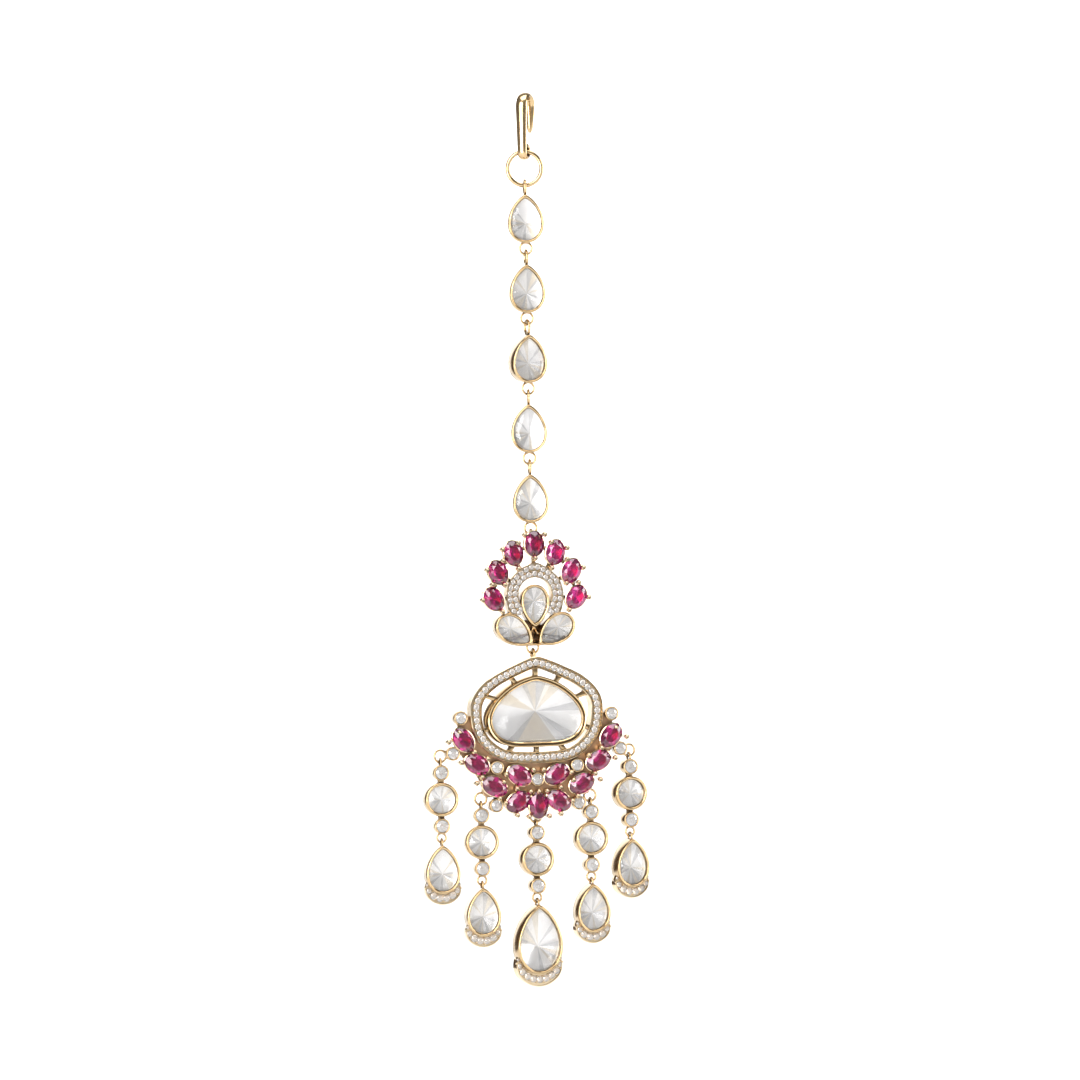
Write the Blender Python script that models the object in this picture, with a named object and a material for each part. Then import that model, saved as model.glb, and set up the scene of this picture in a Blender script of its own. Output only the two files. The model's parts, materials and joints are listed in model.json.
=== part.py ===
"""Maang tikka: hook, pear-set chain, lotus crest, main pendant and five drops.

Metres, +Z up. The origin is the inner crook of the hook, where the jewel hangs.
The jewel faces -Y and hangs along -Z.

Every hung piece is modelled in a flat frame of its own: x to the right, y up,
z to the front, with the wire that carries the piece at its origin.
"""
import bmesh
import bpy
from math import cos, degrees, pi, radians, sin, sqrt
from mathutils import Matrix, Vector

MM = 0.001

# Clearances
HANG_GAP = 0.20 * MM
STONE_GAP = 0.10 * MM

# Hook
HOOK_INNER_RADIUS = 1.5 * MM
HOOK_THICK = 1.0 * MM
HOOK_WIDTH_SHARE = 1.9
HOOK_EYE_DROP = 8.45 * MM
HOOK_EYE_RADIUS = 1.0 * MM
HOOK_EYE_THICK_SHARE = 0.8
HOOK_TIP_DROP = 5.5 * MM
HOOK_TIP_SHARE = 0.2
HOOK_LEG_SHARE = 0.85
HOOK_EYE_TURN = 1.72 * pi
HOOK_TWIST = -34.0
HOOK_RING_TWIST = -15.0

# Ring in the hook's eye
HOOK_RING_RADIUS = 3.05 * MM
HOOK_RING_WIRE = 0.7 * MM

# Link rings, front facing, and link loops, edge on
RING_RADIUS = 1.15 * MM
RING_WIRE = 0.4 * MM
LOOP_RADIUS = 1.375 * MM
LOOP_WIRE = 0.5 * MM
CREST_LOOP_RADIUS = 1.2 * MM
DROP_RING_RADIUS = 0.9 * MM
DROP_RING_WIRE = 0.36 * MM
DROP_LOOP_RADIUS = 0.85 * MM
DROP_LOOP_WIRE = 0.36 * MM
SOLDER = 0.28 * MM

# Bezels
BEZEL_DEPTH = 3.0 * MM
BEZEL_WALL = 0.5 * MM
BEZEL_FLOOR = 0.5 * MM

# Cut stones
GIRDLE = 0.3 * MM
TABLE_SHARE = 0.57
CULET_SHARE = 0.12
STONE_SINK = 0.55 * MM
PEAR_CROWN = 0.75 * MM
PEAR_PAVILION = 1.4 * MM
CREST_PEAR_CROWN = 0.6 * MM
CREST_PEAR_PAVILION = 1.2 * MM
ROUND_CROWN = 0.65 * MM
ROUND_PAVILION = 1.0 * MM
RUBY_CROWN = 0.6 * MM
RUBY_PAVILION = 0.8 * MM
RUBY_SINK = 0.15 * MM
CENTRE_CROWN = 1.1 * MM
CENTRE_PAVILION = 1.6 * MM
CENTRE_SINK = 0.7 * MM

# Chain links
LINK_COUNT = 5
LINK_WIDTH = 5.8 * MM
LINK_HEIGHT = 7.8 * MM
LINK_TWISTS = (-10.0, -6.0, 3.0, -14.0, -9.0)

# Rubies
RUBY_WALL = 0.22 * MM
RUBY_FLOOR = 0.3 * MM
RUBY_SEAT_DEPTH = 1.4 * MM
CREST_RUBY_WIDTH = 3.05 * MM
CREST_RUBY_LENGTH = 4.0 * MM
CRESCENT_RUBY_WIDTH = 3.0 * MM
CRESCENT_RUBY_LENGTH = 4.25 * MM

# Crest
CREST_BACK = -0.5 * MM
CREST_DEPTH = 2.8 * MM
CREST_HANG = 10.2 * MM
ARCH_RUBY_RADIUS = 8.7 * MM
ARCH_WIDTH = 9.5 * MM
ARCH_HEIGHT = 8.4 * MM
ARCH_RISE = 5.75 * MM
ARCH_HOLE_RADIUS = 2.75 * MM
ARCH_HOLE_RISE = 0.55 * MM
ARCH_DEPTH = 2.2 * MM
ARCH_SINK = 0.2 * MM
STRUT_WIDTH = 0.7 * MM
STRUT_DEPTH = 0.85 * MM
STRUT_LIFT = 0.05 * MM
PRONG_RADIUS = 0.38 * MM
SEAT_SINK = 0.1 * MM
HEART_WIDTH = 4.7 * MM
HEART_HEIGHT = 6.8 * MM
HEART_RISE = 2.2 * MM
LEAF_WIDTH = 4.7 * MM
LEAF_HEIGHT = 7.0 * MM
LEAF_TILT = 54.0
LEAF_TIP_X = 0.55 * MM
LEAF_TIP_DROP = 7.3 * MM
BASE_WIDTH = 11.4 * MM
BASE_HEIGHT = 3.9 * MM
BASE_DEPTH = 1.5 * MM
BASE_LIFT = 0.1 * MM
BASE_MARGIN = 0.5 * MM
CREST_RING_DROP = 0.15 * MM

# Pendant
PENDANT_GAP = 0.25 * MM
PENDANT_BACK = -0.6 * MM
FRAME_HALF_WIDTH = 10.95 * MM
FRAME_HEIGHT = 17.1 * MM
FRAME_BELOW = 8.3 * MM
FRAME_BAND = 1.85 * MM
FRAME_DEPTH = 2.6 * MM
STONE_HALF_WIDTH = 7.3 * MM
STONE_HEIGHT = 9.5 * MM
STONE_BELOW = 4.75 * MM
STONE_WALL = 0.85 * MM
STONE_BACK = 0.2 * MM
SPOKE_COUNT = 10
SPOKE_WIDTH = 0.65 * MM
SPOKE_DEPTH = 1.1 * MM
CRESCENT_DROP = 3.05 * MM
CRESCENT_RADIUS = 12.0 * MM
CRESCENT_MARGIN = 1.1 * MM
CRESCENT_PLATE = 0.9 * MM
MELEE_RADIUS = 1.15 * MM
MELEE_DEPTH = 2.0 * MM
MELEE_SINK = 0.18 * MM
MELEE_CROWN = 0.12 * MM
HOOP_RADIUS = 1.15 * MM
HOOP_WIRE = 0.4 * MM

# Drops
BAR_SMALL_RADIUS = 1.28 * MM
BAR_BIG_RADIUS = 2.75 * MM
BAR_STEP = 4.27 * MM
BAR_DEPTH = 2.4 * MM
BAR_BRIDGE = 1.0 * MM
BAR_SMALL_SINK = 0.2 * MM
ROUND_WALL = 0.6 * MM
DROP_WIDTH = 5.6 * MM
DROP_HEIGHT = 7.8 * MM
DROP_BORDER = 1.8 * MM
CENTRE_DROP_WIDTH = 7.7 * MM
CENTRE_DROP_HEIGHT = 11.1 * MM
CENTRE_DROP_BORDER = 2.1 * MM
BORDER_DEPTH = 1.8 * MM
BORDER_LIFT = 0.4 * MM
BORDER_HORN = 0.3 * MM
BORDER_SIDE_SHARE = 0.42
BORDER_CURVE_SHARE = 0.3
BORDER_END_SHARE = 0.96

# Arch rubies of one half: degrees from the top, share of the arch radius, tilt of the long axis
ARCH_RUBIES = (
    (0.0, 1.000, 0.0),
    (25.5, 0.925, 13.0),
    (55.0, 0.850, 27.0),
    (90.0, 0.785, 38.0),
)
# Arch outline of one half, from the apex down: share of the half width, share of the height
ARCH_SHAPE = (
    (0.00, 1.00),
    (0.33, 0.93),
    (0.55, 0.85),
    (0.81, 0.71),
    (0.95, 0.55),
    (1.00, 0.38),
    (0.97, 0.21),
    (0.89, 0.05),
    (0.60, 0.00),
)
# Base plate under the leaves, the same columns
BASE_SHAPE = (
    (0.00, 1.00),
    (0.16, 0.62),
    (0.50, 0.50),
    (1.00, 0.46),
    (0.93, 0.28),
    (0.72, 0.12),
    (0.45, 0.03),
    (0.15, 0.00),
)
# Frame outline of one half, from the apex down: share of the half width, share of the height
FRAME_SHAPE = (
    (0.00, 1.000),
    (0.17, 0.972),
    (0.46, 0.892),
    (0.69, 0.815),
    (0.88, 0.710),
    (0.98, 0.600),
    (1.00, 0.485),
    (0.985, 0.365),
    (0.93, 0.255),
    (0.82, 0.155),
    (0.66, 0.072),
    (0.46, 0.018),
    (0.17, 0.000),
)
# Centre stone outline of one half, as above
STONE_SHAPE = (
    (0.00, 1.000),
    (0.25, 0.955),
    (0.50, 0.865),
    (0.74, 0.725),
    (0.92, 0.560),
    (1.00, 0.385),
    (0.95, 0.210),
    (0.78, 0.075),
    (0.50, 0.010),
    (0.18, 0.000),
)
# Crescent rubies of one half: degrees from straight down, share of the crescent radius, tilt
CRESCENT_RUBIES = (
    (0.0, 1.000, 0.0),
    (16.5, 0.985, 60.0),
    (39.5, 0.945, -65.0),
    (63.0, 0.940, -63.0),
    (84.5, 1.025, -40.0),
    (23.5, 0.645, -60.0),
)
# Small round bezels of the crescent, same columns but the tilt
CRESCENT_MELEE = (
    (0.0, 0.655),
    (49.0, 0.735),
    (30.0, 1.140),
    (76.5, 1.190),
    (100.5, 1.060),
)
# Hoops under the crescent for the drops of one half: degrees, share of the radius
CRESCENT_HOOPS = (
    (0.0, 1.155),
    (40.0, 1.175),
    (76.5, 1.340),
)
# Edge of the crescent plate of one half: degrees, share of the radius
CRESCENT_EDGE = (
    (0.0, 1.000),
    (17.0, 1.000),
    (33.0, 1.010),
    (40.0, 1.075),
    (50.0, 0.970),
    (66.0, 0.985),
    (80.0, 1.060),
    (92.0, 1.010),
    (103.0, 0.900),
)
# Turn of each drop bar and of each pear about the vertical, left to right, in degrees
BAR_TWISTS = (-2.0, -4.0, 3.0, 2.0, 6.0)
PEAR_TWISTS = (-4.0, -3.0, 6.0, 4.0, 8.0)

# Sides and segments
RING_SIDES = 10
WIRE_SIDES = 5
HOOK_RING_SIDES = 16
HOOK_WIRE_SIDES = 6
CROOK_STEPS = 8
EYE_STEPS = 10
PEAR_SIDES = 16
RUBY_SIDES = 10
ROUND_SIDES = 12
MELEE_SIDES = 10
PRONG_SIDES = 6
HOLE_SIDES = 20
BORDER_SIDES = 12


def clear_scene():
    for old in list(bpy.data.objects):
        bpy.data.objects.remove(old)


def make_collection(name):
    group = bpy.data.collections.new(name)
    bpy.context.scene.collection.children.link(group)
    return group


def make_material(name, colour, roughness, metallic, transmission=0.0):
    material = bpy.data.materials.new(name)
    material.use_nodes = True
    shader = material.node_tree.nodes["Principled BSDF"]
    shader.inputs["Base Color"].default_value = (*colour, 1.0)
    shader.inputs["Roughness"].default_value = roughness
    shader.inputs["Metallic"].default_value = metallic
    shader.inputs["Transmission Weight"].default_value = transmission
    return material


clear_scene()
PARTS = make_collection("maang_tikka")
GOLD = (0.86, 0.66, 0.33)
RUBY = (0.42, 0.02, 0.12)
WHITE = (0.93, 0.94, 0.97)


# Outlines

def ellipse(half_width, half_height, count):
    """Points of an ellipse, anticlockwise from its right end."""
    turns = [2 * pi * i / count for i in range(count)]
    return [Vector((half_width * cos(t), half_height * sin(t))) for t in turns]


def pear(width, height, count):
    """A pear with its point at the origin and its round end below."""
    widest = 0.862
    points = []
    for i in range(count):
        t = 2 * pi * i / count
        x = -width / 2 / widest * sin(t) * sqrt(abs(sin(t / 2)))
        points.append(Vector((x, -height / 2 * (1 - cos(t)))))
    return points


def mirrored(rows, half_width, height, foot):
    """A closed outline from the rows of its right half, anticlockwise from the apex."""
    right = [Vector((x * half_width, foot + y * height)) for x, y in rows]
    left = [Vector((-p.x, p.y)) for p in right[1:]]
    return [right[0]] + left + right[:0:-1]


def offset(outline, distance):
    """The outline grown by a distance, with mitred corners. Below zero it shrinks."""
    grown = []
    for i, point in enumerate(outline):
        before = (point - outline[i - 1]).normalized()
        after = (outline[(i + 1) % len(outline)] - point).normalized()
        normal = Vector((before.y + after.y, -before.x - after.x)).normalized()
        lean = normal.dot(Vector((before.y, -before.x)))
        grown.append(point + normal * distance / max(lean, 0.5))
    return grown


def moved(outline, x, y, turn=0.0):
    """The outline turned by some degrees about its origin, then moved."""
    matrix = Matrix.Rotation(radians(turn), 2)
    return [matrix @ point + Vector((x, y)) for point in outline]


def scaled(outline, share):
    """The outline scaled about the middle of its box."""
    xs = [p.x for p in outline]
    ys = [p.y for p in outline]
    middle = Vector(((min(xs) + max(xs)) / 2, (min(ys) + max(ys)) / 2))
    return [middle + (p - middle) * share for p in outline]


def lower_half(half_width, depth):
    """The lower half of an ellipse with short upright ends, from right to left."""
    turns = [-pi * i / BORDER_SIDES for i in range(BORDER_SIDES + 1)]
    arc = [Vector((half_width * cos(t), depth * sin(t))) for t in turns]
    end = half_width * BORDER_END_SHARE
    return [Vector((end, BORDER_HORN))] + arc + [Vector((-end, BORDER_HORN))]


def bar_outline(width, low, high):
    """An upright rectangle about x 0."""
    half = width / 2
    return [Vector((-half, low)), Vector((half, low)), Vector((half, high)), Vector((-half, high))]


def polar(angle, radius, centre_y):
    """The place at some degrees from straight down, positive to the right."""
    turn = radians(angle)
    return Vector((radius * sin(turn), centre_y - radius * cos(turn)))


def reach(outline, direction):
    """How far the outline lies from the origin along a direction."""
    far = 0.0
    for i, start in enumerate(outline):
        side = outline[(i + 1) % len(outline)] - start
        across = direction.x * side.y - direction.y * side.x
        if abs(across) < 1e-12:
            continue
        along = (start.x * side.y - start.y * side.x) / across
        share = (start.x * direction.y - start.y * direction.x) / across
        if along > 0 and 0 <= share <= 1:
            far = max(far, along)
    return far


# Solids in the flat frame

def mesh_object(name, bm):
    bmesh.ops.recalc_face_normals(bm, faces=bm.faces)
    mesh = bpy.data.meshes.new(name)
    bm.to_mesh(mesh)
    bm.free()
    item = bpy.data.objects.new(name, mesh)
    PARTS.objects.link(item)
    return item


def loft(name, sections):
    """A closed solid through outlines of equal count, each with its height z."""
    bm = bmesh.new()
    corner = bm.verts.layers.int.new("corner")
    bmesh.ops.create_circle(bm, cap_ends=True, segments=len(sections[0][0]), radius=1.0)
    bm.verts.ensure_lookup_table()
    first, low = sections[0]
    for i, vert in enumerate(bm.verts):
        vert[corner] = i
        vert.co = (first[i].x, first[i].y, low)
    cap = bm.faces[:]
    for step, (outline, height) in enumerate(sections[1:]):
        grown = bmesh.ops.extrude_face_region(bm, geom=cap)["geom"]
        if step > 0:
            bmesh.ops.delete(bm, geom=cap, context="FACES_ONLY")
        cap = [part for part in grown if isinstance(part, bmesh.types.BMFace)]
        for vert in [part for part in grown if isinstance(part, bmesh.types.BMVert)]:
            spot = outline[vert[corner]]
            vert.co = (spot.x, spot.y, height)
    return mesh_object(name, bm)


def prism(outline, low, high):
    return loft("prism", [(outline, low), (outline, high)])


def band(outer, inner, low, high):
    """A flat band between two outlines, from a filled 2D curve."""
    curve = bpy.data.curves.new("band", "CURVE")
    curve.dimensions = "2D"
    curve.fill_mode = "BOTH"
    curve.extrude = (high - low) / 2
    for outline in (outer, inner):
        spline = curve.splines.new("POLY")
        spline.points.add(len(outline) - 1)
        for point, spot in zip(spline.points, outline):
            point.co = (spot.x, spot.y, 0.0, 1.0)
        spline.use_cyclic_u = True
    return curve_solid(curve, Matrix.Translation((0, 0, (low + high) / 2)))


def curve_solid(curve, matrix):
    """The curve as a welded mesh object, with the matrix in its points."""
    guide = bpy.data.objects.new("guide", curve)
    PARTS.objects.link(guide)
    graph = bpy.context.evaluated_depsgraph_get()
    mesh = bpy.data.meshes.new_from_object(guide.evaluated_get(graph))
    bpy.data.objects.remove(guide)
    bm = bmesh.new()
    bm.from_mesh(mesh)
    bmesh.ops.remove_doubles(bm, verts=bm.verts, dist=1e-7)
    bmesh.ops.transform(bm, matrix=matrix, verts=bm.verts)
    return mesh_object("curve_solid", bm)


def ring(radius, wire, x, y, edge_on=False, sides=RING_SIDES, wire_sides=WIRE_SIDES):
    """A soldered ring of outer radius and wire, facing the front or edge on."""
    bpy.ops.mesh.primitive_torus_add(
        major_segments=sides,
        minor_segments=wire_sides,
        major_radius=radius - wire / 2,
        minor_radius=wire / 2,
    )
    item = bpy.context.object
    quarter = pi / 2 if edge_on else 0.0
    item.data.transform(Matrix.Translation((x, y, 0)) @ Matrix.Rotation(quarter, 4, "Y"))
    for group in list(item.users_collection):
        group.objects.unlink(item)
    PARTS.objects.link(item)
    return item


def combine(base, tools, operation):
    """The base with every tool joined to it or cut from it."""
    for tool in tools:
        change = base.modifiers.new("combine", "BOOLEAN")
        change.operation = operation
        change.object = tool
        change.solver = "EXACT"
        graph = bpy.context.evaluated_depsgraph_get()
        mesh = bpy.data.meshes.new_from_object(base.evaluated_get(graph))
        base.modifiers.clear()
        base.data = mesh
        bpy.data.objects.remove(tool)
    return base


def gem(outline, crown, pavilion):
    """A cut stone: table, crown facets, girdle, pavilion. Its girdle starts at z = 0."""
    return loft("gem", [
        (scaled(outline, CULET_SHARE), -pavilion),
        (outline, 0.0),
        (outline, GIRDLE),
        (scaled(outline, TABLE_SHARE), GIRDLE + crown),
    ])


def melee_bezel(radius, low, high, x, y):
    """A small round bezel with its faceted stone fused into it."""
    shares = (
        (1.00, low),
        (1.00, high),
        (0.80, high),
        (0.72, high - MELEE_SINK),
        (0.42, high + MELEE_CROWN),
    )
    return loft("melee", [
        (moved(ellipse(radius * share, radius * share, MELEE_SIDES), x, y), height)
        for share, height in shares
    ])


# Placing

def flat_frame(name, parent, matrix):
    """An empty that carries the pieces of one hung part."""
    empty = bpy.data.objects.new(name, None)
    PARTS.objects.link(empty)
    empty.parent = parent
    empty.matrix_local = matrix
    return empty


def finish(item, name, parent, material, x=0.0, y=0.0, z=0.0, turn=0.0):
    """Names a solid, gives it its finish and hangs it in its flat frame."""
    item.name = name
    item.data.name = name
    item.data.materials.clear()
    item.data.materials.append(material)
    item.parent = parent
    item.matrix_local = Matrix.Translation((x, y, z)) @ Matrix.Rotation(radians(turn), 4, "Z")
    return item


def upright(place, twist):
    """The flat frame at a place in the world, turned about the vertical."""
    stand = Matrix.Rotation(pi / 2, 4, "X")
    return Matrix.Translation(place) @ Matrix.Rotation(radians(twist), 4, "Z") @ stand


def hung(x, y, twist):
    """A flat frame inside another, turned about the vertical."""
    return Matrix.Translation((x, y, 0)) @ Matrix.Rotation(radians(twist), 4, "Y")


def loop_centre(carrier_wire, radius, wire):
    """How high the centre of a loop lies over the wire that carries it."""
    return carrier_wire / 2 + HANG_GAP - (radius - wire)


# Hook and its ring

def make_hook(gold):
    """From the pointed back leg over the crook to the curled eye. Returns the eye's axis."""
    centre_radius = HOOK_INNER_RADIUS + HOOK_THICK / 2
    eye_y = HOOK_EYE_RADIUS - centre_radius
    rows = [(centre_radius, -HOOK_TIP_DROP, HOOK_TIP_SHARE)]
    rows.append((centre_radius, -HOOK_INNER_RADIUS - HOOK_TIP_DROP / 4, HOOK_LEG_SHARE))
    for i in range(CROOK_STEPS + 1):
        t = pi * i / CROOK_STEPS
        height = centre_radius * sin(t) - HOOK_INNER_RADIUS
        rows.append((centre_radius * cos(t), height, 1.0))
    for i in range(EYE_STEPS + 1):
        t = pi + HOOK_EYE_TURN * i / EYE_STEPS
        share = 1.0 if i == 0 else HOOK_EYE_THICK_SHARE
        y = eye_y + HOOK_EYE_RADIUS * cos(t)
        rows.append((y, HOOK_EYE_RADIUS * sin(t) - HOOK_EYE_DROP, share))
    curve = bpy.data.curves.new("hook", "CURVE")
    curve.dimensions = "3D"
    curve.bevel_depth = HOOK_THICK / 2
    curve.bevel_resolution = 2
    curve.use_fill_caps = True
    spline = curve.splines.new("POLY")
    spline.points.add(len(rows) - 1)
    for point, (y, z, share) in zip(spline.points, rows):
        point.co = (0.0, y, z, 1.0)
        point.radius = share
    widen = Matrix.Diagonal((HOOK_WIDTH_SHARE, 1.0, 1.0, 1.0))
    hook = curve_solid(curve, widen)
    hook.name = "hook"
    hook.data.materials.append(gold)
    hook.matrix_world = Matrix.Rotation(radians(HOOK_TWIST), 4, "Z")
    return hook.matrix_world @ Vector((0, eye_y, 0))


def make_hook_ring(eye, gold):
    """The ring rests in the eye and carries the chain. Returns its lower wire's place."""
    eye_inner = HOOK_EYE_RADIUS - HOOK_THICK / 2 * HOOK_EYE_THICK_SHARE
    top = HANG_GAP - HOOK_EYE_DROP - eye_inner + HOOK_RING_WIRE
    middle = upright(eye + Vector((0, 0, top - HOOK_RING_RADIUS)), HOOK_RING_TWIST)
    frame = flat_frame("hook_ring_place", None, middle)
    sides = (HOOK_RING_SIDES, HOOK_WIRE_SIDES)
    item = ring(HOOK_RING_RADIUS, HOOK_RING_WIRE, 0, 0, False, *sides)
    finish(item, "hook_ring", frame, gold)
    return eye + Vector((0, 0, top - 2 * HOOK_RING_RADIUS + HOOK_RING_WIRE / 2))


# Chain of pear links

def pear_cup(width, height, top, depth, back):
    """The solid and the recess of a pear bezel whose point is at x 0 and a height."""
    outer = moved(pear(width, height, PEAR_SIDES), 0, top)
    inner = offset(outer, -BEZEL_WALL)
    body = prism(outer, back, back + depth)
    recess = prism(inner, back + BEZEL_FLOOR, back + depth + MM)
    return body, recess, offset(inner, -STONE_GAP)


def make_link(number, pivot, carrier_wire, gold, white):
    """One link. Returns the place of the lower wire of its ring."""
    twist = LINK_TWISTS[(number - 1) % len(LINK_TWISTS)]
    frame = flat_frame(f"chain_place_{number}", None, upright(pivot, twist))
    loop_y = loop_centre(carrier_wire, LOOP_RADIUS, LOOP_WIRE)
    top = loop_y - LOOP_RADIUS + SOLDER
    ring_y = top - LINK_HEIGHT + SOLDER - RING_RADIUS
    body, recess, seat = pear_cup(LINK_WIDTH, LINK_HEIGHT, top, BEZEL_DEPTH, -BEZEL_DEPTH / 2)
    loops = [
        ring(LOOP_RADIUS, LOOP_WIRE, 0, loop_y, edge_on=True),
        ring(RING_RADIUS, RING_WIRE, 0, ring_y),
    ]
    setting = combine(body, loops, "UNION")
    setting = combine(setting, [recess], "DIFFERENCE")
    finish(setting, f"chain_setting_{number}", frame, gold)
    stone = gem(seat, PEAR_CROWN, PEAR_PAVILION)
    finish(stone, f"chain_stone_{number}", frame, white, z=BEZEL_DEPTH / 2 - STONE_SINK)
    return pivot + Vector((0, 0, ring_y - RING_RADIUS + RING_WIRE / 2))


# Ruby seats

def ruby_seat(width, length, x, y, turn, back):
    """The solid and the recess of an oval seat, its long axis turned from upright."""
    inner = moved(ellipse(width / 2 + STONE_GAP, length / 2 + STONE_GAP, RUBY_SIDES), x, y, turn)
    body = prism(offset(inner, RUBY_WALL), back, back + RUBY_SEAT_DEPTH)
    recess = prism(inner, back + RUBY_FLOOR, back + RUBY_SEAT_DEPTH + MM)
    return body, recess


def make_ruby(name, frame, width, length, x, y, turn, back, ruby):
    outline = ellipse(width / 2, length / 2, RUBY_SIDES)
    stone = gem(outline, RUBY_CROWN, RUBY_PAVILION)
    finish(stone, name, frame, ruby, x=x, y=y, z=back + RUBY_SEAT_DEPTH - RUBY_SINK, turn=turn)


def both_sides(rows):
    """Rows of one half as whole rows, left to right. A row at the middle stands once."""
    whole = []
    for row in rows:
        whole.append(row)
        if row[0] > 0.0:
            whole.append((-row[0], row[1]) + tuple(-tilt for tilt in row[2:]))
    return sorted(whole, key=lambda row: row[0])


# Crest

def make_crest(pivot, gold, ruby, white):
    """The lotus crest. Returns its frame and the height of its ring's lower wire."""
    frame = flat_frame("crest_pivot", None, upright(pivot, 0.0))
    back = CREST_BACK
    front = back + CREST_DEPTH
    middle = -CREST_HANG
    arch = mirrored(ARCH_SHAPE, ARCH_WIDTH / 2, ARCH_HEIGHT, middle + ARCH_RISE - ARCH_HEIGHT)
    hole = ellipse(ARCH_HOLE_RADIUS, ARCH_HOLE_RADIUS, HOLE_SIDES)
    hole = moved(hole, 0, middle + ARCH_HOLE_RISE)
    setting = band(arch, hole, front - ARCH_DEPTH, front - ARCH_SINK)

    heart_foot = middle + HEART_RISE - HEART_HEIGHT
    heart = moved(pear(HEART_WIDTH, HEART_HEIGHT, PEAR_SIDES), 0, heart_foot, 180)
    leaf = pear(LEAF_WIDTH, LEAF_HEIGHT, PEAR_SIDES)
    tip = middle - LEAF_TIP_DROP
    leaves = [moved(leaf, side * LEAF_TIP_X, tip, side * (180 - LEAF_TILT)) for side in (-1, 1)]
    solids = []
    recesses = []
    seats = []
    for outline in [heart] + leaves:
        wall = offset(outline, -BEZEL_WALL)
        solids.append(prism(outline, back, front))
        recesses.append(prism(wall, back + BEZEL_FLOOR, front + MM))
        seats.append(offset(wall, -STONE_GAP))
    base_foot = tip - BASE_MARGIN
    base = mirrored(BASE_SHAPE, BASE_WIDTH / 2, BASE_HEIGHT, base_foot)
    solids.append(prism(base, back + BASE_LIFT, back + BASE_LIFT + BASE_DEPTH))

    rubies = []
    ruby_back = front - RUBY_SEAT_DEPTH - SEAT_SINK
    size = (CREST_RUBY_WIDTH, CREST_RUBY_LENGTH)
    for angle, share, tilt in both_sides(ARCH_RUBIES):
        place = polar(180 - angle, ARCH_RUBY_RADIUS * share, middle)
        rubies.append((place.x, place.y, -tilt))
        body, recess = ruby_seat(*size, *rubies[-1], ruby_back)
        solids.append(body)
        recesses.append(recess)
        solids.append(strut(place, middle, arch, ruby_back))
    for first, second in zip(rubies, rubies[1:]):
        x = (first[0] + second[0]) / 2
        y = (first[1] + second[1]) / 2
        prong = moved(ellipse(PRONG_RADIUS, PRONG_RADIUS, PRONG_SIDES), x, y)
        prong_front = ruby_back + RUBY_SEAT_DEPTH - SEAT_SINK
        solids.append(prism(prong, ruby_back + SEAT_SINK, prong_front))

    loop_y = loop_centre(RING_WIRE, CREST_LOOP_RADIUS, LOOP_WIRE)
    ring_y = base_foot - CREST_RING_DROP
    solids.append(ring(CREST_LOOP_RADIUS, LOOP_WIRE, 0, loop_y, edge_on=True))
    solids.append(ring(RING_RADIUS, RING_WIRE, 0, ring_y))
    setting = combine(setting, solids, "UNION")
    setting = combine(setting, recesses, "DIFFERENCE")
    finish(setting, "crest_setting", frame, gold)
    for number, (x, y, tilt) in enumerate(rubies, 1):
        make_ruby(f"crest_ruby_{number}", frame, *size, x, y, tilt, ruby_back, ruby)
    for number, seat in enumerate(seats, 1):
        stone = gem(seat, CREST_PEAR_CROWN, CREST_PEAR_PAVILION)
        finish(stone, f"crest_pear_{number}", frame, white, z=front - STONE_SINK)
    return frame, ring_y - RING_RADIUS + RING_WIRE / 2


def strut(place, middle, arch, back):
    """A short bar from a ruby's seat to the arch, along the line to the arch's middle."""
    spoke = place - Vector((0, middle))
    end = spoke.length - CREST_RUBY_WIDTH / 2
    start = reach(moved(arch, 0, -middle), spoke.normalized()) - STRUT_WIDTH
    turn = degrees(Vector((0, 1)).angle_signed(spoke))
    bar = moved(bar_outline(STRUT_WIDTH, start, end), 0, middle, -turn)
    return prism(bar, back + STRUT_LIFT, back + STRUT_LIFT + STRUT_DEPTH)


# Pendant

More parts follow.
